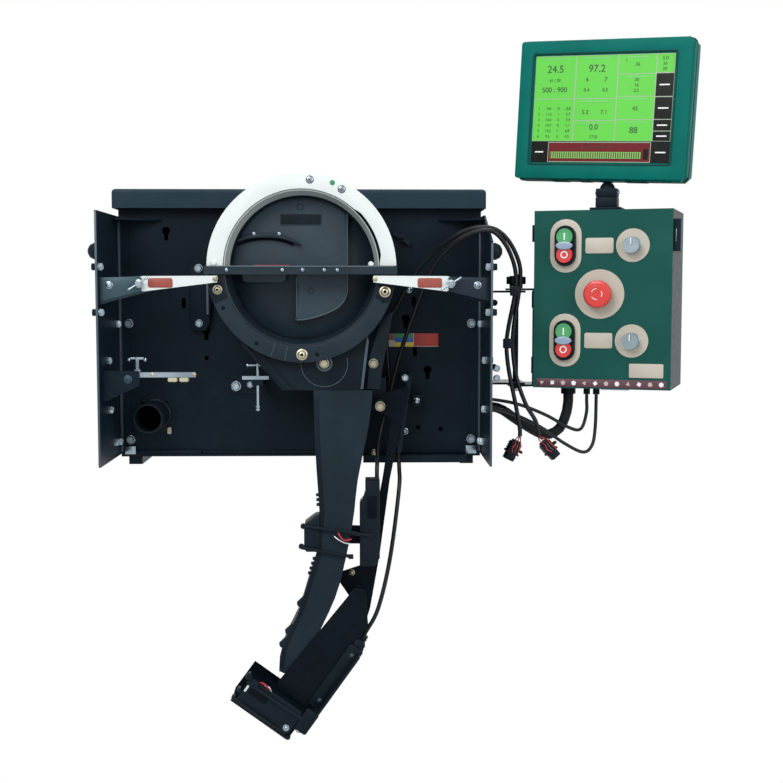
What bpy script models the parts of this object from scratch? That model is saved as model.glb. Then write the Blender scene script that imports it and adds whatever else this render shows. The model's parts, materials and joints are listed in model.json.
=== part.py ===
"""Bench test stand for a finger seed meter: cabinet, clamped meter, seed tube, control box, monitor.

Metres, +Z up. The origin is on the bench plane, in the middle of the cabinet's width, at the front
face of its back panel. The stand faces -Y.
"""

import math

import bmesh
import bpy
from mathutils import Matrix, Vector

# ---- clearances and sheet ----
FIT = 0.0003
SHEET = 0.003

# ---- cabinet ----
CABINET_HALF_WIDTH = 0.2725
CABINET_HEIGHT = 0.370
CABINET_DEPTH = 0.205
PLATE_REACH = 0.154
FLOOR_GAP = 0.012
PAN_SHEET = 0.0035
ANGLE_WIDTH = 0.018
PLATE_CHAMFER_Y = -0.037
PLATE_CHAMFER_DROP = 0.042
LID_TOP = CABINET_HEIGHT + 0.039
LID_RIM = CABINET_HEIGHT + 0.011
LID_OVERHANG = 0.025
LID_SHEET = 0.002
LID_ROUND = 0.0055
LID_RISE = 0.006
LID_RISE_LEFT = 0.1105 - CABINET_HALF_WIDTH
LID_RISE_RIGHT = CABINET_HALF_WIDTH - 0.0775
FOOT_WIDTH = 0.020
FOOT_INSET = 0.020
FOOT_LENGTH = 0.180
RAIL_LEFT = 0.093
RAIL_RIGHT = CABINET_HALF_WIDTH - 0.0255
RAIL_DEPTH = 0.022
RAIL_DROP = 0.007
PAN_FRONT = -0.005

# ---- vacuum port ----
PORT_X = 0.055 - CABINET_HALF_WIDTH
PORT_Z = 0.076
PORT_RADIUS = 0.0205
PORT_WALL = 0.0015
PORT_REACH = 0.075
PORT_FLANGE = 0.030

# ---- meter ----
METER_X = 0.008
METER_Z = 0.292
RING_OUTER = 0.132
RING_WIDTH = 0.023
RING_INNER = RING_OUTER - RING_WIDTH
RING_FRONT = 0.130
RING_BACK = 0.113
BODY_RADIUS = RING_INNER + 0.009
BODY_WALL = 0.0097
BODY_BACK = 0.048
BODY_FLOOR = 0.004
STUB_RADIUS = 0.045
STUB_WALL = 0.007
SHAFT_RADIUS = 0.006
COVER_FRONT = 0.075
COVER_SHEET = 0.003
COVER_GAP = 0.0015
PLATEAU_RISE = 0.012
WHEEL_GAP = 0.0083
WHEEL_RADIUS = BODY_RADIUS - BODY_WALL - WHEEL_GAP
WHEEL_THICK = 0.009
FINGERS = 12
FINGER_DEPTH = 0.012
MOUTH_LEFT = METER_X - RING_OUTER - 0.003
MOUTH_RIGHT = METER_X + RING_OUTER + 0.001
MOUTH_DROP = 0.009
MOUTH_RISE = 0.003
MOUTH_THICK = 0.0062
GEAR_CASE_BOTTOM = 0.120
MOTOR_RADIUS = 0.040
MOTOR_LENGTH = 0.105

# ---- arms and clamps ----
ARM_INSET = 0.0575
ARM_ROOT_X = CABINET_HALF_WIDTH - ARM_INSET
ARM_TIP_X = RING_OUTER - 0.024
ARM_Z = 0.270
ARM_ROOT_HALF = 0.0105
ARM_TIP_HALF = 0.0045
ARM_THICK = 0.0035
THUMB_RADIUS = 0.0075
THUMB_BAR = 0.031
CLAMP_X = 0.0505 - CABINET_HALF_WIDTH
CLAMP_BAR_Z = 0.140
CLAMP_BAR_THICK = 0.007
CLAMP_BAR_TIP = CLAMP_X + 0.082
CLAMP_SCREW_TOP = 0.168
LATCH_X = -0.058
LATCH_Y = -0.080
LATCH_Z = 0.130
LATCH_TOP = 0.156
LATCH_BOTTOM = 0.088
LATCH_ROD = 0.003
WING_SPAN = 0.030

# ---- seed tube group ----
TUBE_FRONT = 0.112
TUBE_DEPTH = 0.050
TUBE_WALL = 0.0025
GEAR_CASE_BACK = TUBE_FRONT - TUBE_DEPTH - 2 * FIT - SHEET
HOOK_REACH = GEAR_CASE_BACK - 0.0038
PIVOT_X = 0.1175
PIVOT_Z = 0.097
PIVOT_RADIUS = 0.004
PIVOT_HEAD = 0.007
MID_SENSOR_TOP = -0.010
MID_SENSOR_BOTTOM = -0.132
LOW_SENSOR_X = -0.0407
LOW_SENSOR_Z = -0.3295
LOW_SENSOR_LENGTH = 0.098
LOW_SENSOR_WIDTH = 0.049
LOW_SENSOR_TURN = math.radians(-36.2)
PLUG_BOX_X = 0.0534
PLUG_BOX_Z = -0.293
PLUG_BOX_LENGTH = 0.108
PLUG_BOX_WIDTH = 0.021
PLUG_BOX_TURN = math.radians(54.5)
PLUG_RADIUS = 0.007
PLUG_LENGTH = 0.017

# ---- support and control box ----
SUPPORT_Y = -0.037
SUPPORT_DEPTH = 0.066
SUPPORT_TOP = 0.2638
SUPPORT_BOTTOM = 0.1212
SUPPORT_REACH = 0.0455
SWING_X = CABINET_HALF_WIDTH + SUPPORT_REACH
SWING_PIN = 0.004
STAR_RADIUS = 0.014
STAR_HEIGHT = 0.018
BOX_X = SWING_X + 0.023
BOX_Y = -0.067
BOX_Z = 0.1205
BOX_WIDTH = 0.196
BOX_HEIGHT = 0.254
BOX_DEPTH = 0.130
BOX_YAW = math.radians(-20)
BOX_SHEET = 0.002
DOOR_SHEET = 0.003
BUTTON_U = 0.046
KNOB_U = 0.141
ROW_TOP = 0.2035
ROW_LOW = 0.069
BEZEL_WIDTH = 0.030
BEZEL_HEIGHT = 0.058
BEZEL_RISE = 0.008
BUTTON_PITCH = 0.032
BUTTON_RADIUS = 0.0115
BUTTON_HOLE_WALL = 0.0025
BUTTON_PROUD = 0.004
STOP_U = 0.095
STOP_W = 0.135
STOP_RADIUS = 0.0195
STOP_STEM = 0.010
KNOB_RADIUS = 0.0113
KNOB_LENGTH = 0.018
KNOB_SHAFT = 0.003
GLAND_DEPTH_V = 0.050
GLAND_LENGTH = 0.012
GLANDS = [(0.0415, 0.011), (0.0690, 0.005), (0.0830, 0.005)]

# ---- monitor ----
MONITOR_X = BOX_X + 0.089
MONITOR_Y = -0.093
MONITOR_Z = BOX_Z + BOX_HEIGHT + 0.1405
MONITOR_WIDTH = 0.251
MONITOR_HEIGHT = 0.198
MONITOR_DEPTH = 0.045
MONITOR_YAW = math.radians(-27)
MONITOR_ROLL = math.radians(3)
MONITOR_CHAMFER = 0.008
POST_U = 0.101
POST_V = 0.020
POST_WIDTH = 0.032
POST_DEPTH = 0.020
BALL_RADIUS = 0.011

# ---- cords ----
LEAD_RADIUS = 0.0025
TRUNK_RADIUS = 0.0075
CORD_SPACING = 0.013

PARTS = "seed_meter_test_stand"
CUTTERS = "cutters"

FINISHES = {
    "black_sheet": ((0.010, 0.014, 0.020), 0.45, 0.3),
    "black_plastic": ((0.018, 0.022, 0.026), 0.50, 0.0),
    "white_plastic": ((0.80, 0.82, 0.80), 0.40, 0.0),
    "grey_cast": ((0.35, 0.36, 0.35), 0.45, 0.0),
    "zinc": ((0.55, 0.58, 0.60), 0.30, 1.0),
    "green_paint": ((0.02, 0.12, 0.10), 0.40, 0.1),
    "teal_plastic": ((0.0, 0.16, 0.13), 0.35, 0.0),
    "red_plastic": ((0.70, 0.03, 0.02), 0.35, 0.0),
    "green_plastic": ((0.07, 0.42, 0.12), 0.35, 0.0),
    "knob_metal": ((0.40, 0.45, 0.48), 0.30, 1.0),
    "black_cord": ((0.015, 0.015, 0.018), 0.55, 0.0),
}


def clear_scene():
    for obj in list(bpy.data.objects):
        bpy.data.objects.remove(obj, do_unlink=True)
    for name in (PARTS, CUTTERS):
        bpy.context.scene.collection.children.link(bpy.data.collections.new(name))


def finish(name):
    """The named finish as a material, made once."""
    found = bpy.data.materials.get(name)
    if found:
        return found
    colour, roughness, metallic = FINISHES[name]
    made = bpy.data.materials.new(name)
    made.use_nodes = True
    shader = made.node_tree.nodes["Principled BSDF"]
    shader.inputs["Base Color"].default_value = (*colour, 1.0)
    shader.inputs["Roughness"].default_value = roughness
    shader.inputs["Metallic"].default_value = metallic
    return made


def add(name, mesh, look=None):
    """A new object with this mesh: a part when it has a finish, a cutter when it has none."""
    obj = bpy.data.objects.new(name, mesh)
    bpy.data.collections[PARTS if look else CUTTERS].objects.link(obj)
    if look:
        mesh.materials.clear()
        mesh.materials.append(finish(look))
    else:
        obj.hide_render = True
        obj.display_type = "WIRE"
    return obj


def smooth(mesh):
    mesh.shade_smooth()
    mesh.set_sharp_from_angle(angle=math.radians(35))


def box(name, low, high, look=None):
    """A block from its low corner to its high corner."""
    mesh = bpy.data.meshes.new(name)
    bm = bmesh.new()
    bmesh.ops.create_cube(bm, size=1)
    size = Vector(high) - Vector(low)
    middle = (Vector(high) + Vector(low)) / 2
    bmesh.ops.transform(bm, matrix=Matrix.Translation(middle) @ Matrix.Diagonal((*size, 1)), verts=bm.verts)
    bm.to_mesh(mesh)
    bm.free()
    return add(name, mesh, look)


def rod(name, start, end, radius, look=None, sides=24):
    """A round bar between two points."""
    start, end = Vector(start), Vector(end)
    turn = (end - start).to_track_quat("Z", "Y").to_matrix().to_4x4()
    mesh = bpy.data.meshes.new(name)
    bm = bmesh.new()
    bmesh.ops.create_cone(
        bm, cap_ends=True, segments=sides, radius1=radius, radius2=radius, depth=(end - start).length
    )
    bmesh.ops.transform(bm, matrix=Matrix.Translation((start + end) / 2) @ turn, verts=bm.verts)
    bm.to_mesh(mesh)
    bm.free()
    smooth(mesh)
    return add(name, mesh, look)


def turned(name, profile, look, middle_x, middle_z, sides=40):
    """A ring turned about a line along Y, from a closed profile of (radius, y) points."""
    mesh = bpy.data.meshes.new(name)
    edges = [(i, (i + 1) % len(profile)) for i in range(len(profile))]
    mesh.from_pydata([(radius, 0, -y) for radius, y in profile], edges, [])
    obj = add(name, mesh, look)
    screw = obj.modifiers.new("turn", "SCREW")
    screw.axis = "Z"
    screw.steps = sides
    screw.render_steps = sides
    screw.use_merge_vertices = True
    screw.merge_threshold = 0.0001
    bake(obj)
    bm = bmesh.new()
    bm.from_mesh(obj.data)
    bmesh.ops.remove_doubles(bm, verts=bm.verts, dist=0.00002)
    bmesh.ops.recalc_face_normals(bm, faces=bm.faces)
    place = Matrix.Translation((middle_x, 0, middle_z)) @ Matrix.Rotation(math.radians(90), 4, "X")
    bmesh.ops.transform(bm, matrix=place, verts=bm.verts)
    bm.to_mesh(obj.data)
    bm.free()
    smooth(obj.data)
    return obj


AXES = {
    "X": Matrix(((0, 0, 1, 0), (1, 0, 0, 0), (0, 1, 0, 0), (0, 0, 0, 1))),
    "Y": Matrix(((1, 0, 0, 0), (0, 0, -1, 0), (0, 1, 0, 0), (0, 0, 0, 1))),
    "Z": Matrix.Identity(4),
}


def mesh_of_curve(obj):
    """The curve as a welded mesh object in its place."""
    graph = bpy.context.evaluated_depsgraph_get()
    mesh = bpy.data.meshes.new_from_object(obj.evaluated_get(graph))
    mesh.transform(obj.matrix_world)
    bm = bmesh.new()
    bm.from_mesh(mesh)
    bmesh.ops.remove_doubles(bm, verts=bm.verts, dist=0.00002)
    bmesh.ops.recalc_face_normals(bm, faces=bm.faces)
    bm.to_mesh(mesh)
    bm.free()
    bpy.data.objects.remove(obj, do_unlink=True)
    return mesh


def sheet(name, points, low, high, axis, look=None):
    """A flat outline extruded along an axis: X takes (y, z) points, Y takes (x, z), Z takes (x, y)."""
    curve = bpy.data.curves.new(name, "CURVE")
    curve.dimensions = "2D"
    curve.fill_mode = "BOTH"
    curve.extrude = (high - low) / 2
    spline = curve.splines.new("POLY")
    spline.points.add(len(points) - 1)
    for spot, (across, up) in zip(spline.points, points):
        spot.co = (across, up, 0, 1)
    spline.use_cyclic_u = True
    guide = bpy.data.objects.new(name, curve)
    bpy.data.collections[CUTTERS].objects.link(guide)
    middle = (low + high) / 2
    shift = {"X": (middle, 0, 0), "Y": (0, middle, 0), "Z": (0, 0, middle)}[axis]
    guide.matrix_world = Matrix.Translation(shift) @ AXES[axis]
    bpy.context.view_layer.update()
    return add(name, mesh_of_curve(guide), look)


def bake(obj):
    """Applies the object's modifiers to its mesh."""
    bpy.context.view_layer.update()
    graph = bpy.context.evaluated_depsgraph_get()
    mesh = bpy.data.meshes.new_from_object(obj.evaluated_get(graph))
    obj.modifiers.clear()
    obj.data = mesh


def combine(obj, tool, operation="UNION"):
    """Joins the tool to the object, or cuts it away with DIFFERENCE, and removes the tool."""
    step = obj.modifiers.new(operation.lower(), "BOOLEAN")
    step.operation = operation
    step.object = tool
    bake(obj)
    bpy.data.objects.remove(tool, do_unlink=True)
    return obj


def cut(obj, tool):
    return combine(obj, tool, "DIFFERENCE")


def round_edges(obj, width, segments=2):
    step = obj.modifiers.new("edge", "BEVEL")
    step.width = width
    step.segments = segments
    step.limit_method = "ANGLE"
    bake(obj)
    smooth(obj.data)
    return obj


def place(obj, matrix):
    """Moves the object's mesh by a frame, such as the yawed control box's."""
    obj.data.transform(matrix)
    return obj


def hang(obj, pivot):
    """Puts the object's origin on its joint's axis and leaves its shape where it is."""
    obj.data.transform(Matrix.Translation(-Vector(pivot)))
    obj.location = pivot
    return obj


def arc(middle_x, middle_z, radius, start, end, steps):
    """Points on a circle from one angle in degrees to another."""
    turns = [math.radians(start + (end - start) * i / steps) for i in range(steps + 1)]
    return [(middle_x + radius * math.cos(t), middle_z + radius * math.sin(t)) for t in turns]


def slot_outline(width, height, middle_u, middle_w, steps=10):
    """A stadium: a rectangle with round ends, standing upright."""
    straight = (height - width) / 2
    top = arc(middle_u, middle_w + straight, width / 2, 0, 180, steps)
    return top + arc(middle_u, middle_w - straight, width / 2, 180, 360, steps)


def smooth_line(points, spacing):
    """Points at an even spacing along a smooth curve through the given points."""
    ends = [2 * Vector(points[0]) - Vector(points[1])]
    knots = ends + [Vector(p) for p in points] + [2 * Vector(points[-1]) - Vector(points[-2])]
    fine = []
    for i in range(1, len(knots) - 2):
        before, here, after, later = knots[i - 1 : i + 3]
        for step in range(16):
            t = step / 16
            spot = 2 * here + (after - before) * t
            spot += (2 * before - 5 * here + 4 * after - later) * t * t
            spot += (3 * here - before - 3 * after + later) * t * t * t
            fine.append(spot / 2)
    fine.append(knots[-2])
    length = sum((b - a).length for a, b in zip(fine, fine[1:]))
    count = max(2, round(length / spacing))
    line, walked, goal = [fine[0]], 0.0, length / count
    for a, b in zip(fine, fine[1:]):
        part = (b - a).length
        while part and walked + part >= goal and len(line) < count:
            line.append(a.lerp(b, (goal - walked) / part))
            goal += length / count
        walked += part
    return line + [fine[-1]]


def cord(name, points, radius, resolution):
    """A round cord along a smooth curve through the points."""
    route = smooth_line(points, CORD_SPACING)
    curve = bpy.data.curves.new(name, "CURVE")
    curve.dimensions = "3D"
    curve.bevel_depth = radius
    curve.bevel_resolution = resolution
    curve.use_fill_caps = True
    spline = curve.splines.new("POLY")
    spline.points.add(len(route) - 1)
    for spot, where in zip(spline.points, route):
        spot.co = (*where, 1)
    obj = bpy.data.objects.new(name, curve)
    bpy.data.collections[PARTS].objects.link(obj)
    curve.materials.append(finish("black_cord"))
    return obj


# ---- cabinet ----


def side_plate(name, side):
    """A steel plate with an angle folded against the back panel. side is -1 left, 1 right."""
    outer = side * CABINET_HALF_WIDTH
    inner = side * (CABINET_HALF_WIDTH - SHEET)
    folded = side * (CABINET_HALF_WIDTH - ANGLE_WIDTH)
    outline = [
        (outer, -PLATE_REACH),
        (inner, -PLATE_REACH),
        (inner, -FIT - SHEET),
        (folded, -FIT - SHEET),
        (folded, -FIT),
        (inner, -FIT),
        (inner, SHEET),
        (outer, SHEET),
    ]
    plate = sheet(name, outline, panel_bottom(), CABINET_HEIGHT, "Z", "black_sheet")
    if side > 0:
        top = CABINET_HEIGHT + FIT
        corner = [(PLATE_CHAMFER_Y, top), (-PLATE_REACH - FIT, top)]
        corner.append((-PLATE_REACH - FIT, CABINET_HEIGHT - PLATE_CHAMFER_DROP))
        cut(plate, sheet("plate_corner", corner, inner - SHEET, outer + SHEET, "X"))
    return plate


def panel_bottom():
    return FLOOR_GAP + FIT + PAN_SHEET + FIT


def panel_top():
    return LID_TOP - LID_SHEET - FIT


def keyhole(x, z):
    """A round hole with a short slot under it."""
    outline = arc(x, z, 0.006, -60, 240, 12) + [(x - 0.003, z - 0.014), (x + 0.003, z - 0.014)]
    return sheet("keyhole", outline, -SHEET, 2 * SHEET, "Y")


def make_cabinet():
    half = CABINET_HALF_WIDTH - SHEET - FIT
    panel = box("back_panel", (-half, 0, panel_bottom()), (half, SHEET, panel_top()), "black_sheet")
    for x, z in ((-0.199, 0.349), (-0.141, 0.201), (0.157, 0.219), (0.190, 0.142)):
        cut(panel, keyhole(x, z))
    for x, z, radius in ((-0.141, 0.160, 0.0035), (0.176, 0.055, 0.0035), (0.210, 0.052, 0.0035)):
        cut(panel, rod("hole", (x, -SHEET, z), (x, 2 * SHEET, z), radius, sides=12))
    for x, z in ((-0.174, 0.242), (0.169, 0.244), (0.171, 0.170)):
        cut(panel, sheet("slot", slot_outline(0.006, 0.016, x, z, 5), -SHEET, 2 * SHEET, "Y"))
    for x, z, radius in ((METER_X, METER_Z, STUB_RADIUS - STUB_WALL),
                         (PORT_X, PORT_Z, PORT_RADIUS + SHEET)):
        cut(panel, rod("bore", (x, -SHEET, z), (x, 2 * SHEET, z), radius, sides=32))

    side_plate("left_side_plate", -1)
    side_plate("right_side_plate", 1)

    back = CABINET_DEPTH
    side, skirt = CABINET_HALF_WIDTH + FIT, LID_RIM - 3 * LID_ROUND
    lid = box("top_cover", (-side - LID_SHEET, -LID_OVERHANG, skirt),
              (side + LID_SHEET, back + SHEET + LID_SHEET, LID_TOP), "black_sheet")
    inside = box("lid_inside", (-side, LID_SHEET - LID_OVERHANG, skirt - LID_ROUND),
                 (side, back + SHEET, LID_TOP - LID_SHEET))
    round_edges(lid, LID_ROUND, 3)
    cut(lid, round_edges(inside, LID_ROUND - LID_SHEET, 3))
    cut(lid, box("lid_skirt", (-2 * side, -back, skirt - 2 * LID_ROUND), (2 * side, 2 * back, LID_RIM)))
    rise = box("lid_rise", (LID_RISE_LEFT, 0.3 * back, LID_TOP - LID_SHEET / 2),
               (LID_RISE_RIGHT, back - LID_ROUND, LID_TOP + LID_RISE))
    combine(lid, rise)

    wall = SHEET - 0.001
    housing = box("rear_housing", (-half, SHEET + FIT, panel_bottom()), (half, back, panel_top()),
                  "black_sheet")
    cut(housing, box("housing_inside", (-half + wall, 0, panel_bottom() + wall),
                     (half - wall, back - wall, panel_top() - wall)))

    pan_top = FLOOR_GAP + FIT + PAN_SHEET
    pan = box("base_pan", (-half, PAN_FRONT, FLOOR_GAP + FIT), (half, back, pan_top), "black_sheet")
    combine(pan, box("front_rail", (RAIL_LEFT, PAN_FRONT - RAIL_DEPTH, FLOOR_GAP - RAIL_DROP),
                     (RAIL_RIGHT, PAN_FRONT + PAN_SHEET, pan_top)))
    for side in (-1, 1):
        middle = side * (half - FOOT_INSET)
        combine(pan, box("foot", (middle - FOOT_WIDTH / 2, 0.001, 0),
                         (middle + FOOT_WIDTH / 2, FOOT_LENGTH, FLOOR_GAP + 0.002)))


def make_port():
    bore = PORT_RADIUS - PORT_WALL
    profile = [(bore, -PORT_REACH), (PORT_RADIUS, -PORT_REACH), (PORT_RADIUS, -FIT - SHEET),
               (PORT_FLANGE, -FIT - SHEET), (PORT_FLANGE, -FIT), (PORT_RADIUS, -FIT),
               (PORT_RADIUS, 0.040), (bore, 0.040)]
    turned("vacuum_port", profile, "black_plastic", PORT_X, PORT_Z, 32)


# ---- meter ----


def in_bowl(raised, radius):
    """Trims a raised shape of the cover to the round of the cover's edge."""
    edge = rod("bowl_edge", (METER_X, -RING_FRONT, METER_Z), (METER_X, 0, METER_Z), radius - 0.002,
               sides=48)
    return combine(raised, edge, "INTERSECT")


def make_meter():
    inner = BODY_RADIUS - BODY_WALL
    floor = BODY_BACK + BODY_FLOOR
    shaft_hole = SHAFT_RADIUS + 2 * FIT
    stub_bore = STUB_RADIUS - STUB_WALL
    front = RING_BACK - FIT
    profile = [
        (BODY_RADIUS, -front), (BODY_RADIUS, -BODY_BACK), (STUB_RADIUS, -BODY_BACK), (STUB_RADIUS, -FIT),
        (stub_bore, -FIT), (stub_bore, -BODY_BACK), (shaft_hole, -BODY_BACK), (shaft_hole, -floor),
        (inner, -floor), (inner, -front),
    ]
    housing = turned("meter_housing", profile, "black_plastic", METER_X, METER_Z, 48)
    case = [(-0.078, 0.2052), (-0.078, 0.183), (-0.020, GEAR_CASE_BOTTOM), (0.092, GEAR_CASE_BOTTOM),
            (0.106, 0.2330)]
    gear_case = sheet("gear_case", case, -front + 0.001, -GEAR_CASE_BACK + 0.006, "Y")
    ear = [(0.085, 0.125), (0.085, PIVOT_Z - 0.009), (PIVOT_X + 0.009, PIVOT_Z - 0.009),
           (PIVOT_X + 0.009, 0.135)]
    combine(gear_case, sheet("pivot_ear", ear, -GEAR_CASE_BACK, -GEAR_CASE_BACK + 0.005, "Y"))
    arm_front = TUBE_FRONT - TUBE_DEPTH - FIT
    combine(gear_case, rod("pivot_stud", (PIVOT_X, -GEAR_CASE_BACK + 0.002, PIVOT_Z),
                           (PIVOT_X, -arm_front - 0.003, PIVOT_Z), PIVOT_RADIUS, sides=20))
    combine(gear_case, rod("stud_head", (PIVOT_X, -arm_front - FIT - 0.0003, PIVOT_Z),
                           (PIVOT_X, -arm_front - 0.006, PIVOT_Z), PIVOT_HEAD))
    bowl = rod("bowl", (METER_X, -RING_FRONT, METER_Z), (METER_X, -BODY_BACK + 0.005, METER_Z),
               BODY_RADIUS - BODY_WALL / 2, sides=48)
    cut(gear_case, bowl)
    combine(housing, gear_case)

    for name, start, look in (("upper_half_ring", 0, "white_plastic"),
                              ("lower_half_ring", 180, "black_plastic")):
        shift = math.degrees(FIT / RING_INNER)
        outer = arc(METER_X, METER_Z, RING_OUTER, start + shift, start + 180 - shift, 28)
        hole = arc(METER_X, METER_Z, RING_INNER, start + 180 - shift, start + shift, 28)
        sheet(name, outer + hole, -RING_FRONT, -RING_BACK, "Y", look)

    cover_radius = inner - COVER_GAP
    cover = rod("meter_cover", (METER_X, -COVER_FRONT, METER_Z),
                (METER_X, -COVER_FRONT + COVER_SHEET, METER_Z),
                cover_radius, "black_plastic", 48)
    plateau = arc(METER_X, METER_Z, cover_radius - 0.004, 57, 176, 16)
    plateau += [(-0.080, 0.287), (-0.080, 0.271), (-0.015, 0.271), (0.0, 0.262), (-0.002, 0.219),
                (0.040, 0.228), (0.073, 0.254)]
    top = sheet("cover_plateau", plateau, -COVER_FRONT - PLATEAU_RISE, -COVER_FRONT + 0.001, "Y")
    combine(cover, in_bowl(top, cover_radius))
    lip = arc(-0.045, 0.262, 0.080, 120, 60, 8) + arc(-0.045, 0.262, 0.076, 60, 120, 8)
    lip = sheet("finger_lip", lip, -COVER_FRONT - PLATEAU_RISE - 0.012, -COVER_FRONT - 0.005, "Y")
    combine(cover, in_bowl(lip, cover_radius))

    shelf_front = RING_FRONT + FIT
    bar = box("mouth_plate", (MOUTH_LEFT, -shelf_front - MOUTH_THICK, METER_Z - MOUTH_DROP),
              (MOUTH_RIGHT, -shelf_front, METER_Z + MOUTH_RISE), "black_plastic")
    shelf_back = COVER_FRONT + PLATEAU_RISE + 0.0005
    combine(bar, box("shelf", (METER_X - inner + 0.006, -shelf_front - 0.001, METER_Z - 0.004),
                     (METER_X + inner - 0.006, -shelf_back, METER_Z - 0.001)))

    wheel_back = floor + 0.0035
    rim = []
    for i in range(FINGERS * 6):
        lobe = 1 if i % 6 < 3 else 0
        turn = 2 * math.pi * i / (FINGERS * 6)
        radius = WHEEL_RADIUS - (0 if lobe else FINGER_DEPTH)
        rim.append((METER_X + radius * math.cos(turn), METER_Z + radius * math.sin(turn)))
    wheel = sheet("finger_wheel", rim, -wheel_back - WHEEL_THICK, -wheel_back, "Y", "grey_cast")
    cut(wheel, rod("wheel_bore", (METER_X, -RING_FRONT, METER_Z), (METER_X, 0, METER_Z),
                   SHAFT_RADIUS + FIT))
    hang(wheel, (METER_X, -wheel_back, METER_Z))

    coupling = rod("drive_coupling", (METER_X, -wheel_back - WHEEL_THICK - 0.001, METER_Z),
                   (METER_X, SHEET, METER_Z), SHAFT_RADIUS, "zinc", 20)
    disc = rod("coupling_disc", (METER_X, -0.040, METER_Z), (METER_X, -0.022, METER_Z),
               STUB_RADIUS - STUB_WALL - 0.008)
    hang(combine(coupling, disc), (METER_X, -0.030, METER_Z))

    rod("drive_motor", (METER_X, SHEET + FIT, METER_Z), (METER_X, SHEET + MOTOR_LENGTH, METER_Z),
        MOTOR_RADIUS, "grey_cast", 32)


# ---- arms and clamps ----


def bracket_face():
    """The front face of the arm brackets: the arms lie on it and press on the mouth plate."""
    return RING_FRONT + FIT + MOUTH_THICK


def make_arm(side_name, side):
    wall = CABINET_HALF_WIDTH - SHEET - FIT
    face = bracket_face()
    tip_z, root_z = ARM_Z + 0.0065, ARM_Z
    outline = [(wall, ARM_Z + 0.008), (ARM_ROOT_X - 0.007, ARM_Z + 0.011),
               (ARM_ROOT_X - 0.015, ARM_Z - 0.010),
               (wall, ARM_Z - 0.028)]
    bracket = sheet(side_name + "_arm_bracket", [(side * x, z) for x, z in outline], -face, -face + SHEET,
                    "Y",
                    "black_sheet")
    low, high = sorted((side * wall, side * (wall - SHEET)))
    combine(bracket, box("bracket_tab", (low, -face, ARM_Z - 0.0275),
                         (high, 0.0315 - face, ARM_Z + 0.0075)))

    front = face + FIT
    outline = [(ARM_TIP_X, tip_z - ARM_TIP_HALF), (ARM_TIP_X, tip_z + ARM_TIP_HALF),
               (ARM_ROOT_X - 0.006, root_z + ARM_ROOT_HALF)]
    outline += arc(ARM_ROOT_X - 0.006, root_z, ARM_ROOT_HALF, 80, -80, 8)
    outline += [(ARM_ROOT_X - 0.006, root_z - ARM_ROOT_HALF)]
    arm = sheet(side_name + "_meter_arm", [(side * x, z) for x, z in outline], -front - ARM_THICK, -front,
                "Y",
                "white_plastic")
    hang(arm, (side * ARM_ROOT_X, -front, root_z))

    head = front + ARM_THICK + FIT
    pivot = (side * ARM_ROOT_X, -head, root_z)
    screw = rod(side_name + "_thumb_screw", pivot, (pivot[0], -head - 0.008, root_z), THUMB_RADIUS, "zinc",
                16)
    bar = box("thumb_bar", (-THUMB_BAR / 2, -0.002, -0.0025), (THUMB_BAR / 2, 0.002, 0.0025))
    lean = Matrix.Translation((pivot[0], -head - 0.006,
                               root_z)) @ Matrix.Rotation(-side * math.radians(-40), 4, "Y")
    combine(screw, place(bar, lean))
    hang(screw, pivot)


def make_clamp():
    wall = -(CABINET_HALF_WIDTH - SHEET - FIT)
    face = bracket_face()
    outline = [(wall, 0.149), (CLAMP_X + 0.004, 0.149), (CLAMP_X + 0.004, 0.128), (wall, 0.105)]
    bracket = sheet("clamp_bracket", outline, -face, -face + SHEET, "Y", "black_sheet")
    combine(bracket, box("clamp_tab", (wall, -face, 0.110), (wall + SHEET, -0.095, 0.149)))

    back = face - SHEET - FIT
    middle = back - 0.007
    hinge_x = CLAMP_X - 0.026
    bar = box("clamp_bar", (hinge_x, -back, CLAMP_BAR_Z),
              (CLAMP_BAR_TIP, -back + 0.014, CLAMP_BAR_Z + CLAMP_BAR_THICK),
              "zinc")
    hang(bar, (hinge_x, -middle, CLAMP_BAR_Z))
    top = CLAMP_BAR_Z + CLAMP_BAR_THICK + FIT
    screw = rod("clamp_screw", (CLAMP_X, -middle, top), (CLAMP_X, -middle, CLAMP_SCREW_TOP), 0.003, "zinc",
                12)
    handle = rod("screw_handle", (CLAMP_X - 0.009, -middle, CLAMP_SCREW_TOP - 0.002),
                 (CLAMP_X + 0.009, -middle, CLAMP_SCREW_TOP - 0.002), 0.0018, sides=10)
    hang(combine(screw, handle), (CLAMP_X, -middle, top))


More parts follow.
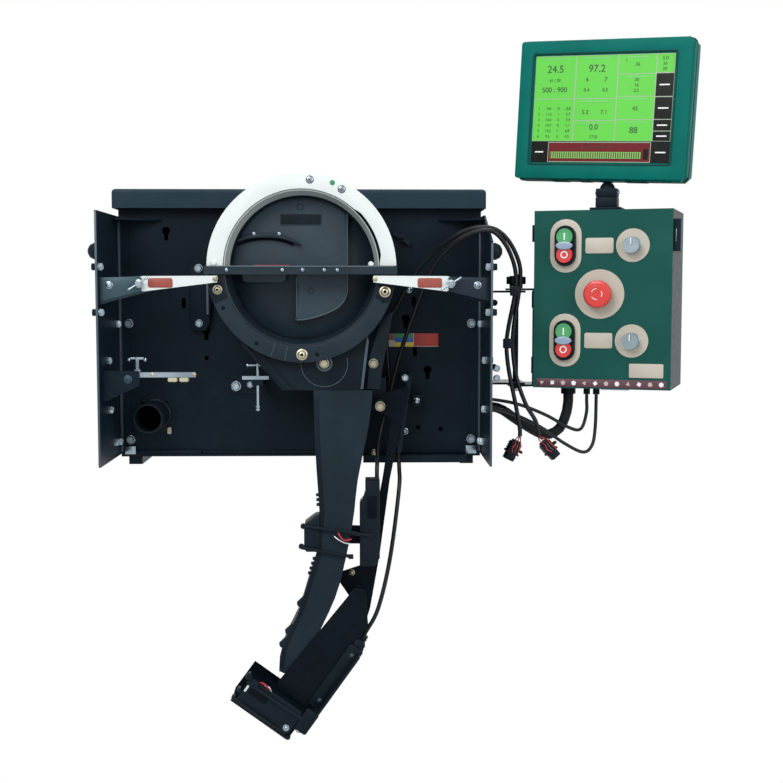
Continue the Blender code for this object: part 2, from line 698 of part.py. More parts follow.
def make_latches():
    block = box("latch_bracket", (LATCH_X - 0.008, LATCH_Y - 0.008, LATCH_Z - 0.005),
                (LATCH_X + 0.008, -BODY_BACK + 0.0003, LATCH_Z + 0.003), "zinc")
    arm = box("latch_foot", (LATCH_X - 0.008, -BODY_BACK - 0.001, LATCH_Z - 0.005),
              (LATCH_X + 0.008, -FIT, LATCH_Z + 0.003))
    combine(block, arm)
    combine(block, box("latch_plate", (LATCH_X - 0.050, -SHEET, LATCH_Z - 0.024),
                       (LATCH_X + 0.008, -FIT, LATCH_Z + 0.006)))
    cut(block, rod("latch_hole", (LATCH_X, LATCH_Y, 0), (LATCH_X, LATCH_Y, 0.2), LATCH_ROD + FIT, sides=16))
    lever = rod("latch_lever", (LATCH_X, LATCH_Y, LATCH_BOTTOM), (LATCH_X, LATCH_Y, LATCH_TOP), LATCH_ROD,
                "zinc", 12)
    top = rod("lever_top", (LATCH_X - 0.016, LATCH_Y, LATCH_TOP - 0.002),
              (LATCH_X + 0.002, LATCH_Y, LATCH_TOP - 0.002),
              0.002, sides=10)
    combine(lever, top)
    bar_z = LATCH_Z + 0.003 + FIT
    combine(lever, box("lever_bar", (LATCH_X - 0.022, LATCH_Y - 0.005, bar_z),
                       (LATCH_X + 0.016, LATCH_Y + 0.005, bar_z + 0.005)))
    hang(lever, (LATCH_X, LATCH_Y, bar_z))

    for name, x, z, lean in (("upper_wing_nut", 0.151, 0.338, 35), ("lower_wing_nut", 0.127, 0.142, 40)):
        nut = rod(name, (x, -FIT, z), (x, -0.010, z), 0.006, "black_plastic", 16)
        wings = box("wings", (-WING_SPAN / 2, -0.013, -0.003), (WING_SPAN / 2, -0.004, 0.003))
        place(wings, Matrix.Translation((x, 0, z)) @ Matrix.Rotation(math.radians(lean), 4, "Y"))
        hang(combine(nut, wings), (x, -FIT, z))

    hook = box("hook_bar", (0.148, -HOOK_REACH, 0.129), (0.163, -FIT, 0.138), "zinc")
    strap = [(0.158, 0.132), (0.143, 0.024), (0.149, 0.024), (0.164, 0.132)]
    combine(hook, sheet("hook_strap", strap, -HOOK_REACH - 0.001, -HOOK_REACH + 0.002, "Y"))


# ---- seed tube group ----

TUBE_LEFT = [(0.023, 0.0), (0.0254, -0.088), (0.0296, -0.155), (0.0305, -0.180), (0.0258, -0.236),
             (0.0155, -0.268), (0.001, -0.316), (-0.0135, -0.347), (-0.0255, -0.374), (-0.0283, -0.405)]
TUBE_RIGHT = [(0.1065, 0.0), (0.1025, -0.042), (0.0918, -0.096), (0.0847, -0.133), (0.079, -0.184),
              (0.0677, -0.243), (0.0535, -0.296), (0.028, -0.352), (0.008, -0.395), (-0.001, -0.417)]


def tube_side(points, inset):
    """One edge of the tube, hung from the gear case, as a smooth line moved inwards by the inset."""
    top = GEAR_CASE_BOTTOM - FIT
    line = smooth_line([(x, 0, top + z) for x, z in points], 0.022)
    return [(spot.x + inset, spot.z) for spot in line]


def make_tube():
    outline = tube_side(TUBE_LEFT, 0) + tube_side(TUBE_RIGHT, 0)[::-1]
    tube = sheet("seed_tube", outline, -TUBE_FRONT, -TUBE_FRONT + TUBE_DEPTH, "Y", "black_plastic")
    left, right = tube_side(TUBE_LEFT, TUBE_WALL), tube_side(TUBE_RIGHT, -TUBE_WALL)
    left[0], right[0] = (left[0][0], left[0][1] + 0.01), (right[0][0], right[0][1] + 0.01)
    left.append((left[-1][0] - 0.006, left[-1][1] - 0.03))
    right.append((right[-1][0] - 0.006, right[-1][1] - 0.03))
    cut(tube, sheet("tube_bore", left + right[::-1], -TUBE_FRONT + TUBE_WALL,
                    -TUBE_FRONT + TUBE_DEPTH - TUBE_WALL, "Y"))

    arm_front = TUBE_FRONT - TUBE_DEPTH - FIT
    outline = [(0.110, 0.109), (0.157, 0.120), (0.159, 0.119), (0.132, -0.015), (0.117, -0.127),
               (0.103, -0.206),
               (0.099, -0.219), (0.080, -0.200), (0.050, -0.155), (0.066, -0.150), (0.099, -0.139), (0.105, -0.095),
               (0.121, -0.015), (0.135, 0.074), (0.110, 0.090)]
    arm = sheet("hanger_arm", outline, -arm_front, -GEAR_CASE_BACK - FIT, "Y", "black_sheet")
    bolt_hole = rod("pivot_hole", (PIVOT_X, -0.1, PIVOT_Z), (PIVOT_X, 0, PIVOT_Z), PIVOT_RADIUS + FIT)
    cut(arm, bolt_hole)

    sensor = box("mid_sensor", (0.003, -0.1165, -0.115), (0.0250, -0.065, -0.057), "black_plastic")
    combine(sensor, box("sensor_right", (0.0880, -0.1165, MID_SENSOR_BOTTOM),
                        (0.1170, -0.065, MID_SENSOR_TOP)))
    for z in (-0.072, -0.100):
        combine(sensor, box("sensor_strap", (0.004, -0.1163, z - 0.003),
                            (0.110, -TUBE_FRONT - FIT, z + 0.003)))


def low_point(along, across):
    """A point in the lower sensor's own directions, as (x, z)."""
    turn = LOW_SENSOR_TURN
    return (LOW_SENSOR_X + along * math.cos(turn) - across * math.sin(turn),
            LOW_SENSOR_Z + along * math.sin(turn) + across * math.cos(turn))


def make_guard():
    rim = LOW_SENSOR_WIDTH / 2 + FIT
    outline = [(0.080, -0.165), (0.096, -0.167), (0.100, -0.219), (0.077, -0.252),
               low_point(LOW_SENSOR_LENGTH / 2, rim), low_point(-0.008, rim), (-0.028, -0.298)]
    sheet("guard_plate", outline, -TUBE_FRONT - FIT - SHEET, -TUBE_FRONT - FIT, "Y", "black_sheet")

    sensor = box("lower_sensor", (-LOW_SENSOR_LENGTH / 2, -0.135, -LOW_SENSOR_WIDTH / 2),
                 (LOW_SENSOR_LENGTH / 2, -0.075, LOW_SENSOR_WIDTH / 2), "black_plastic")
    place(sensor, Matrix.Translation((LOW_SENSOR_X, 0, LOW_SENSOR_Z)) @ Matrix.Rotation(-LOW_SENSOR_TURN, 4, "Y"))

    back = TUBE_FRONT - 0.022
    holder = box("connector_box", (-PLUG_BOX_LENGTH / 2, -TUBE_FRONT, -PLUG_BOX_WIDTH / 2),
                 (PLUG_BOX_LENGTH / 2, -back, PLUG_BOX_WIDTH / 2), "black_plastic")
    place(holder, Matrix.Translation((PLUG_BOX_X, 0, PLUG_BOX_Z)) @ Matrix.Rotation(-PLUG_BOX_TURN, 4, "Y"))
    middle = -(TUBE_FRONT + back) / 2
    start, end = plug_point(-0.001), plug_point(PLUG_LENGTH)
    combine(holder, rod("plug", (start[0], middle, start[1]), (end[0], middle, end[1]), PLUG_RADIUS,
                        sides=16))


def plug_point(beyond):
    """A point beyond the connector box's upper end, as (x, z)."""
    reach = PLUG_BOX_LENGTH / 2 + beyond
    return PLUG_BOX_X + reach * math.cos(PLUG_BOX_TURN), PLUG_BOX_Z + reach * math.sin(PLUG_BOX_TURN)


# ---- support, control box and monitor ----

BOX_FRAME = Matrix.Translation((BOX_X, BOX_Y, BOX_Z)) @ Matrix.Rotation(BOX_YAW, 4, "Z")


def in_box(u, v, w):
    """A world point from the control box's own width, depth and height."""
    return BOX_FRAME @ Vector((u, v, w))


def make_support():
    wall = CABINET_HALF_WIDTH + FIT
    near, far = SUPPORT_Y - SUPPORT_DEPTH / 2, SUPPORT_Y + SUPPORT_DEPTH / 2
    top, bottom = SUPPORT_TOP - SHEET - FIT, SUPPORT_BOTTOM + SHEET + FIT
    bracket = box("support_bracket", (wall, near, bottom), (wall + SHEET, far, top), "black_sheet")
    reach = SWING_X + 0.010
    for low in (top - SHEET, bottom):
        combine(bracket, box("support_ear", (wall + SHEET / 2, near, low), (reach, far, low + SHEET)))
    combine(bracket, rod("swing_pin", (SWING_X, SUPPORT_Y, SUPPORT_BOTTOM - 0.004),
                         (SWING_X, SUPPORT_Y, SUPPORT_TOP),
                         SWING_PIN, sides=20))

    front, rear = in_box(-FIT, 0.003, 0), in_box(-FIT, 0.062, 0)
    inner_front, inner_rear = in_box(-FIT - SHEET, 0.003, 0), in_box(-FIT - SHEET, 0.062, 0)
    web = [front.xy, rear.xy, inner_rear.xy, inner_front.xy]
    arm = sheet("swing_arm", web, SUPPORT_BOTTOM, SUPPORT_TOP, "Z", "black_sheet")
    flange = [(SWING_X - 0.012, near), (inner_front.x + 0.001, inner_front.y),
              (inner_rear.x + 0.001, inner_rear.y),
              (SWING_X - 0.012, far)]
    for low in (SUPPORT_TOP - SHEET, SUPPORT_BOTTOM):
        combine(arm, sheet("swing_flange", flange, low, low + SHEET, "Z"))
    cut(arm, rod("pin_hole", (SWING_X, SUPPORT_Y, 0), (SWING_X, SUPPORT_Y, 0.4), SWING_PIN + FIT))

    star = rod("star_knob", (SWING_X, SUPPORT_Y, SUPPORT_TOP + FIT),
               (SWING_X, SUPPORT_Y, SUPPORT_TOP + FIT + STAR_HEIGHT),
               STAR_RADIUS * 0.7, "black_plastic", 20)
    for i in range(6):
        turn = math.radians(60 * i)
        spot = (SWING_X + STAR_RADIUS * 0.7 * math.cos(turn),
                SUPPORT_Y + STAR_RADIUS * 0.7 * math.sin(turn))
        combine(star, rod("lobe", (*spot, SUPPORT_TOP + 0.006), (*spot, SUPPORT_TOP + STAR_HEIGHT - 0.001),
                          0.0045, sides=10))
    hang(star, (SWING_X, SUPPORT_Y, SUPPORT_TOP + FIT))


def make_control_box():
    body = box("control_box", (0, 0, 0), (BOX_WIDTH, BOX_DEPTH, BOX_HEIGHT), "black_sheet")
    wall = BOX_SHEET
    cut(body, box("box_inside", (wall, -wall, wall),
                  (BOX_WIDTH - wall, BOX_DEPTH - wall, BOX_HEIGHT - wall)))
    for u, radius in GLANDS:
        v = GLAND_DEPTH_V
        combine(body, rod("gland", (u, v, -GLAND_LENGTH), (u, v, wall / 2), radius, sides=16))
    place(body, BOX_FRAME)

    door = box("box_door", (0, -FIT - DOOR_SHEET, 0), (BOX_WIDTH, -FIT, BOX_HEIGHT), "green_paint")
    for w in (ROW_TOP, ROW_LOW):
        cut(door, rod("knob_hole", (KNOB_U, -0.02, w), (KNOB_U, 0.02, w), KNOB_SHAFT + FIT, sides=16))
    cut(door, rod("stop_hole", (STOP_U, -0.02, STOP_W), (STOP_U, 0.02, STOP_W), STOP_STEM + FIT, sides=24))
    hang(place(door, BOX_FRAME), in_box(0, -FIT, 0))

    latch = box("door_latch", (BOX_WIDTH + FIT, 0.004, 0.195), (BOX_WIDTH + 0.010, 0.024, 0.240),
                "black_sheet")
    hang(place(latch, BOX_FRAME), in_box(BOX_WIDTH + FIT, 0.024, 0.2175))

    face = FIT + DOOR_SHEET + FIT
    for row, w in (("meter", ROW_TOP), ("air", ROW_LOW)):
        bezel = sheet(row + "_button_bezel", slot_outline(BEZEL_WIDTH, BEZEL_HEIGHT, BUTTON_U, w, 8),
                      -face - BEZEL_RISE, -face, "Y", "black_plastic")
        for label, shift, look in (("start", 0.5, "green_plastic"), ("stop", -0.5, "red_plastic")):
            middle = w + shift * BUTTON_PITCH * 0.8
            floor = face + BUTTON_HOLE_WALL
            cut(bezel, rod("well", (BUTTON_U, -0.1, middle), (BUTTON_U, -floor, middle),
                           BUTTON_RADIUS + FIT, sides=24))
            travel = floor + BUTTON_PROUD
            button = rod(row + "_" + label + "_button", (BUTTON_U, -travel, middle),
                         (BUTTON_U, -face - BEZEL_RISE - BUTTON_PROUD, middle), BUTTON_RADIUS, look, 24)
            hang(place(button, BOX_FRAME), in_box(BUTTON_U, -travel, middle))
        place(bezel, BOX_FRAME)
        knob = rod(row + "_knob", (KNOB_U, -face, w), (KNOB_U, -face - KNOB_LENGTH, w), KNOB_RADIUS,
                   "knob_metal", 24)
        combine(knob, rod("knob_shaft", (KNOB_U, -face - 0.001, w), (KNOB_U, 0.004, w), KNOB_SHAFT,
                          sides=16))
        hang(place(knob, BOX_FRAME), in_box(KNOB_U, -face, w))

    stop = rod("e_stop_button", (STOP_U, -face - 0.012, STOP_W), (STOP_U, -face - 0.026, STOP_W),
               STOP_RADIUS,
               "red_plastic", 32)
    round_edges(stop, 0.004, 3)
    combine(stop, rod("stop_stem", (STOP_U, -face - 0.014, STOP_W), (STOP_U, 0.010, STOP_W), STOP_STEM,
                      sides=24))
    hang(place(stop, BOX_FRAME), in_box(STOP_U, -face, STOP_W))


def monitor_frame():
    """The monitor's own frame: width and height across its front face, depth behind it."""
    turn = Matrix.Rotation(MONITOR_YAW, 4, "Z") @ Matrix.Rotation(MONITOR_ROLL, 4, "Y")
    return Matrix.Translation((MONITOR_X, MONITOR_Y, MONITOR_Z)) @ turn


def make_monitor():
    half = (MONITOR_WIDTH / 2, MONITOR_HEIGHT / 2)
    case = box("monitor_housing", (-half[0], 0, -half[1]), (half[0], MONITOR_DEPTH, half[1]),
               "teal_plastic")
    round_edges(case, MONITOR_CHAMFER, 1)
    place(case, monitor_frame())

    post = in_box(POST_U, POST_V, BOX_HEIGHT)
    local = monitor_frame().inverted() @ Vector((post.x, post.y, MONITOR_Z - MONITOR_HEIGHT / 2))
    contact = monitor_frame() @ Vector((local.x, local.y, -MONITOR_HEIGHT / 2))
    down = monitor_frame().to_3x3() @ Vector((0, 0, -1))
    centre = contact + down * (BALL_RADIUS + FIT)
    hang(case, centre)

    foot = box("monitor_post", (POST_U - POST_WIDTH / 2, POST_V - POST_DEPTH / 2, FIT),
               (POST_U + POST_WIDTH / 2, POST_V + POST_DEPTH / 2,
                centre.z - BOX_Z - BOX_HEIGHT - BALL_RADIUS - FIT),
               "black_sheet")
    combine(foot, box("post_base", (POST_U - 0.0225, POST_V - 0.016, FIT),
                      (POST_U + 0.0225, POST_V + 0.016, 0.004)))
    place(foot, BOX_FRAME @ Matrix.Translation((0, 0, BOX_HEIGHT)))

    mesh = bpy.data.meshes.new("monitor_ball")
    bm = bmesh.new()
    bmesh.ops.create_uvsphere(bm, u_segments=20, v_segments=12, radius=BALL_RADIUS)
    bm.to_mesh(mesh)
    bm.free()
    smooth(mesh)
    add("monitor_ball", mesh, "zinc").location = centre


# ---- cords: hand-chosen points along each route ----

GLAND_EXIT = BOX_Z - GLAND_LENGTH - 2 * FIT
CORDS = {
    "sensor_lead_mid": (LEAD_RADIUS, [
        (0.113, -0.088, MID_SENSOR_TOP + 2 * FIT), (0.113, -0.0865, 0.002), (0.1135, -0.080, 0.014), (0.116, -0.056, 0.042),
        (0.122, -0.045, 0.068), (0.131, -0.042, 0.100), (0.139, -0.042, 0.136), (0.154, -0.050, 0.189),
        (0.186, -0.066, 0.277), (0.210, -0.085, 0.316), (0.240, -0.112, 0.338), (0.271, -0.124, 0.3440),
        (0.293, -0.118, 0.325), (0.308, -0.104, 0.293), (0.310, -0.096, 0.260), (0.301, -0.090, 0.207),
        (0.299, -0.087, 0.180), (0.303, -0.085, 0.145), (0.314, -0.085, 0.092),
        (0.3193, -0.085, 0.062), (0.3195, -0.085, 0.0507)]),
    "sensor_lead_low": (LEAD_RADIUS, [
        (plug_point(PLUG_LENGTH + FIT)[0], -0.101, plug_point(PLUG_LENGTH + FIT)[1]),
        (0.1145, -0.096, -0.198), (0.132, -0.086, -0.126), (0.145, -0.072, -0.030), (0.146, -0.052, 0.000),
        (0.144, -0.040, 0.027), (0.139, -0.034, 0.060), (0.133, -0.028, 0.120), (0.128, -0.030, 0.205), (0.144, -0.040, 0.240),
        (0.170, -0.050, 0.287), (0.195, -0.062, 0.314), (0.234, -0.095, 0.343), (0.271, -0.110, 0.3488),
        (0.297, -0.104, 0.333), (0.316, -0.092, 0.298), (0.317, -0.084, 0.262), (0.310, -0.080, 0.210),
        (0.309, -0.079, 0.175), (0.315, -0.078, 0.135), (0.328, -0.078, 0.098), (0.342, -0.078, 0.074),
        (0.3472, -0.078, 0.058), (0.3476, -0.078, 0.0487)]),
    "trunk_cable": (TRUNK_RADIUS, [
        (*in_box(GLANDS[0][0], GLAND_DEPTH_V, 0).xy, GLAND_EXIT),
        (*in_box(GLANDS[0][0], GLAND_DEPTH_V, 0).xy, GLAND_EXIT - 0.010), (0.394, -0.0342, 0.078), (0.383, -0.0342, 0.055),
        (0.360, -0.0342, 0.048), (0.325, -0.0342, 0.067), (0.300, -0.0342, 0.084), (0.287, -0.0342, 0.0885),
        (0.2735, -0.0342, 0.089)]),
    "drop_cord_1": (LEAD_RADIUS, [
        (*in_box(GLANDS[1][0], GLAND_DEPTH_V, 0).xy, GLAND_EXIT),
        (*in_box(GLANDS[1][0], GLAND_DEPTH_V, 0).xy, GLAND_EXIT - 0.008), (0.4225, -0.045, 0.080),
        (0.414, -0.047, 0.057), (0.395, -0.050, 0.060), (0.360, -0.052, 0.079), (0.318, -0.053, 0.095),
        (0.2733, -0.053, 0.103)]),
    "drop_cord_2": (LEAD_RADIUS, [
        (*in_box(GLANDS[2][0], GLAND_DEPTH_V, 0).xy, GLAND_EXIT),
        (*in_box(GLANDS[2][0], GLAND_DEPTH_V, 0).xy, GLAND_EXIT - 0.008), (0.4350, -0.050, 0.060),
        (0.430, -0.054, 0.034), (0.416, -0.058, 0.024), (0.387, -0.062, 0.038), (0.352, -0.065, 0.062),
        (0.310, -0.066, 0.082), (0.2733, -0.066, 0.092)]),
}


def make_cords():
    for name, (radius, points) in CORDS.items():
        cord(name, points, radius, 2 if radius < 0.004 else 3)
    for name, x, y, half in (("connector_mid", 0.3195, -0.085, 0.014),
                             ("connector_low", 0.3476, -0.078, 0.0135)):
        top = {"connector_mid": 0.050, "connector_low": 0.048}[name]
        box(name, (x - half, y - 0.010, top - 0.031), (x + half, y + 0.010, top), "black_plastic")


def main():
    clear_scene()
    make_cabinet()
    make_port()
    make_meter()
    make_arm("left", -1)
    make_arm("right", 1)
    make_clamp()
    make_latches()
    make_tube()
    make_guard()
    make_support()
    make_control_box()
    make_monitor()
    make_cords()


if __name__ == "__main__":
    main()
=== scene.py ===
"""Bench test stand for a finger seed meter: finishes, fine pieces, cords, light and camera.

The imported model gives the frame: metres, +Z up, the stand faces -Y. Every piece made here is placed
in that frame and rides on one of its bodies.
"""
import json
import logging
import math
from dataclasses import dataclass
from enum import Enum
from typing import Optional, Sequence

import bmesh
import bpy
from mathutils import Matrix, Vector


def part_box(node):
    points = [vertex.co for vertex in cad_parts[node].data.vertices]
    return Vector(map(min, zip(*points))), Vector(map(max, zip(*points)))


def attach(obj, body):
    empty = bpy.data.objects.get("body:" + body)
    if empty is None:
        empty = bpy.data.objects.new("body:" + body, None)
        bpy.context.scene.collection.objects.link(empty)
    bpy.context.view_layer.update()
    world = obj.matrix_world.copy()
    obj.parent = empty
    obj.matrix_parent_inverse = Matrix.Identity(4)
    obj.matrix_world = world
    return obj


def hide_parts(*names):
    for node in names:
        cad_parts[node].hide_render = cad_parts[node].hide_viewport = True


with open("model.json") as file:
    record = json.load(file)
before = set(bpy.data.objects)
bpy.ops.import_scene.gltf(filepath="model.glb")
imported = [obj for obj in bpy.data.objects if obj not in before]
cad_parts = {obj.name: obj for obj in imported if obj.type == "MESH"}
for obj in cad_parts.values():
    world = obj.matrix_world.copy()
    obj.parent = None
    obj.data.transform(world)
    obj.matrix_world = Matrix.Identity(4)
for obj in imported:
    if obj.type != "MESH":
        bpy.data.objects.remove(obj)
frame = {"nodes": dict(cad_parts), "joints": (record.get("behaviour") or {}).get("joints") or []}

logging.basicConfig(level=logging.INFO, format="%(message)s")
LOG = logging.getLogger("test_stand")

Point2 = tuple[float, float]
Point3 = Sequence[float]
JOINTS = {joint["name"]: joint for joint in frame["joints"]}
GAP = 0.0003
FORWARD, UP, DOWN = (0, -1, 0), (0, 0, 1), (0, 0, -1)


class Body(str, Enum):
    """The bodies of the frame that pieces ride on."""

    STAND = "stand"
    DOOR = "door"
    MONITOR = "monitor"
    LEFT_ARM = "left_arm"
    RIGHT_ARM = "right_arm"
    CLAMP_BAR = "clamp_bar"
    E_STOP = "e_stop"
    DOOR_LATCH = "door_latch"
    LEFT_THUMB = "left_thumb"
    RIGHT_THUMB = "right_thumb"
    CLAMP_SCREW = "clamp_screw"
    LATCH_LEVER = "latch_lever"
    UPPER_WING_NUT = "upper_wing_nut"
    LOWER_WING_NUT = "lower_wing_nut"
    STAR_KNOB = "star_knob"
    MONITOR_SWIVEL = "monitor_swivel"
    METER_START = "meter_start"
    METER_STOP = "meter_stop"
    AIR_START = "air_start"
    AIR_STOP = "air_stop"
    METER_KNOB = "meter_knob"
    AIR_KNOB = "air_knob"


# ---- finishes ----


@dataclass(frozen=True)
class Finish:
    """One surface: its colours, shine and the relief that its grain gives.

    Attributes:
        colour: Base colour, linear RGB.
        worn_and_sheen: Second colour that the variation moves towards; on the cover's sheen finish it is a paler
            colour that paints the sheen.
        roughness: Mean roughness.
        metallic: 1 for bare metal.
        grain: Noise scale of the fine relief, per metre.
        relief: Strength of the fine relief.
        mottle: How far the colour drifts towards the second colour, 0 to 1.
        edge: How far exposed edges turn to the second colour, 0 to 1; on the cover's sheen finish the paler edges are
            a painted highlight.
        coat: Clear coat weight.
        glow: Emission strength of the base colour.
        specular: Strength of the plain reflection, 0.5 for bare plastic.
    """

    colour: tuple[float, float, float]
    worn_and_sheen: tuple[float, float, float]
    roughness: float = 0.5
    metallic: float = 0.0
    grain: float = 900.0
    relief: float = 0.15
    mottle: float = 0.25
    edge: float = 0.0
    coat: float = 0.0
    glow: float = 0.0
    specular: float = 0.5


FINISHES: dict[str, Finish] = {
    "cabinet_black": Finish(
    (0.0036, 0.0085, 0.014), (0.012, 0.024, 0.036), 0.38, 0.0, 700, 0.05, 0.35, 0.5, specular=0.07),
    # Pale grey: a painted highlight on plate edges, bends, ridges, split lines and folds, and plain grey trim on
    # washers and screws.
    "grey_trim_and_painted_highlight": Finish((0.05, 0.075, 0.092), (0.1, 0.135, 0.16), 0.4, 0.3, 500, 0.05, 0.4, 0.3, specular=0.3),
    "lid_texture": Finish(
    (0.0105, 0.027, 0.042), (0.024, 0.048, 0.068), 0.5, 0.0, 380, 0.55, 0.35, 0.3, specular=0.12),
    "moulded_black": Finish(
    (0.004, 0.008, 0.0125), (0.018, 0.03, 0.04), 0.4, 0.0, 1500, 0.1, 0.3, 0.35, specular=0.09),
    "tube_black": Finish(
    (0.0085, 0.0165, 0.0245), (0.022, 0.038, 0.052), 0.5, 0.0, 1100, 0.12, 0.45, 0.3, specular=0.09),
    "bracket_slate": Finish((0.045, 0.085, 0.105), (0.02, 0.04, 0.055), 0.4, 0.2, 700, 0.05, 0.45, 0.3, specular=0.3),
    "arm_blue": Finish((0.011, 0.019, 0.03), (0.02, 0.033, 0.048), 0.4, 0.2, 700, 0.05, 0.45, 0.3, specular=0.2),
    "cover_slate": Finish(
    (0.0105, 0.02, 0.029), (0.026, 0.042, 0.056), 0.36, 0.0, 900, 0.06, 0.4, 0.35, 0.03, specular=0.16),
    # Paler copy of the cover's colour, with a stronger drift and paler edges, for the raised field and pocket:
    # painted sheen where they catch the light.
    "cover_painted_sheen": Finish(
    (0.02, 0.037, 0.053), (0.04, 0.066, 0.088), 0.38, 0.0, 900, 0.1, 0.7, 0.5, 0.05, specular=0.25),
    "sensor_black": Finish((0.003, 0.0055, 0.0085), (0.01, 0.016, 0.022), 0.6, 0.0, 900, 0.08, 0.4, specular=0.0),
    "guard_black": Finish(
    (0.0018, 0.0038, 0.0062), (0.009, 0.015, 0.022), 0.4, 0.0, 500, 0.04, 0.25, 0.5, specular=0.05),
    "white_plastic": Finish((0.76, 0.8, 0.785), (0.58, 0.61, 0.59), 0.36, 0.0, 900, 0.04, 0.25, specular=0.25),
    # A grey copy of white_plastic: painted shade on the bowl's upper inner wall.
    "shaded_liner": Finish((0.5, 0.54, 0.52), (0.3, 0.34, 0.33), 0.4, 0.0, 700, 0.06, 0.5),
    "zinc_blue": Finish((0.4, 0.48, 0.54), (0.15, 0.2, 0.24), 0.24, 1.0, 1200, 0.1, 0.7, 0.6),
    "zinc_cream": Finish((0.46, 0.43, 0.32), (0.22, 0.21, 0.16), 0.32, 1.0, 1200, 0.1, 0.7, 0.5),
    "chrome": Finish((0.38, 0.42, 0.45), (0.12, 0.14, 0.16), 0.16, 1.0, 1500, 0.04, 0.6, 0.6),
    "door_green": Finish((0.0085, 0.076, 0.061), (0.018, 0.105, 0.088), 0.45, 0.0, 2600, 0.3, 0.5, specular=0.08),
    "beige_label": Finish((0.5, 0.455, 0.375), (0.42, 0.38, 0.31), 0.45, 0.0, 1800, 0.05, 0.25),
    "teal_case": Finish((0.0004, 0.145, 0.118), (0.0004, 0.095, 0.08), 0.4, 0.0, 2000, 0.2, 0.6, specular=0.07),
    "teal_dark": Finish((0.001, 0.045, 0.037), (0.0008, 0.028, 0.023), 0.45, 0.0, 1500, 0.15, 0.4, specular=0.15),
    "stop_red": Finish((0.66, 0.03, 0.022), (0.5, 0.02, 0.016), 0.3, 0.0, 1200, 0.05, 0.2, 0.0, 0.3),
    "start_green": Finish((0.055, 0.36, 0.115), (0.04, 0.28, 0.09), 0.32, 0.0, 1200, 0.05, 0.2, 0.0, 0.3),
    "pilot_lens": Finish((0.26, 0.35, 0.47), (0.16, 0.23, 0.33), 0.15, 0.0, 1200, 0.03, 0.4, 0.0, 0.6),
    "symbol_white": Finish((0.85, 0.86, 0.84), (0.75, 0.76, 0.74), 0.4, 0.0, 900, 0.02, 0.1),
    "knob_metal": Finish((0.27, 0.34, 0.37), (0.15, 0.2, 0.23), 0.28, 0.9, 2200, 0.15, 0.5),
    "strip_maroon": Finish((0.085, 0.022, 0.04), (0.06, 0.015, 0.028), 0.42, 0.0, 1800, 0.05, 0.3),
    "brick_red": Finish((0.3, 0.055, 0.035), (0.22, 0.04, 0.026), 0.42, 0.0, 1500, 0.05, 0.3),
    "pad_cream": Finish((0.55, 0.5, 0.36), (0.38, 0.34, 0.24), 0.7, 0.0, 900, 0.2, 0.4),
    "cord_black": Finish(
    (0.0045, 0.006, 0.008), (0.014, 0.018, 0.023), 0.36, 0.0, 1400, 0.1, 0.3, 0.0, 0.05, specular=0.22),
    "sleeve_black": Finish((0.0045, 0.006, 0.008), (0.018, 0.022, 0.027), 0.6, 0.0, 2200, 0.6, 0.5, specular=0.2),
    "wire_red": Finish((0.45, 0.012, 0.02), (0.3, 0.008, 0.014), 0.4, 0.0, 1200, 0.05, 0.2),
    "wire_green": Finish((0.02, 0.075, 0.06), (0.014, 0.05, 0.04), 0.4, 0.0, 1200, 0.05, 0.2),
    "wire_clear": Finish((0.55, 0.58, 0.6), (0.4, 0.42, 0.44), 0.25, 0.6, 900, 0.02, 0.2),
    "brown_cell": Finish((0.12, 0.035, 0.022), (0.09, 0.026, 0.016), 0.45),
    "blue_cell": Finish((0.02, 0.1, 0.42), (0.02, 0.08, 0.33), 0.45),
    "yellow_cell": Finish((0.7, 0.52, 0.03), (0.55, 0.41, 0.03), 0.45),
    "red_cell": Finish((0.42, 0.035, 0.025), (0.32, 0.026, 0.018), 0.45),
    "green_cell": Finish((0.02, 0.22, 0.09), (0.02, 0.17, 0.07), 0.45),
    "screen_green": Finish(
    (0.11, 0.5, 0.06), (0.095, 0.455, 0.052), 0.3, 0.0, 900, 0.0, 0.5, 0.0, 0.02, 0.28, specular=0.15),
    "screen_line": Finish((0.27, 0.36, 0.24), (0.25, 0.33, 0.22), 0.35, 0.0, 900, 0.0, 0.1, 0.0, 0.0, 0.25),
    "screen_black": Finish((0.003, 0.0036, 0.0036), (0.004, 0.005, 0.005), 0.25, 0.0, 900, 0.0, 0.1, specular=0.15),
    "screen_red": Finish(
    (0.12, 0.01, 0.013), (0.095, 0.008, 0.01), 0.3, 0.0, 900, 0.0, 0.3, 0.0, 0.0, 0.3, specular=0.15),
    "screen_ink": Finish((0.006, 0.02, 0.006), (0.008, 0.026, 0.008), 0.35, 0.0, 900, 0.0, 0.1),
    "screen_mark": Finish((0.1, 0.4, 0.08), (0.08, 0.33, 0.06), 0.3, 0.0, 900, 0.0, 0.1, 0.0, 0.0, 0.4),}


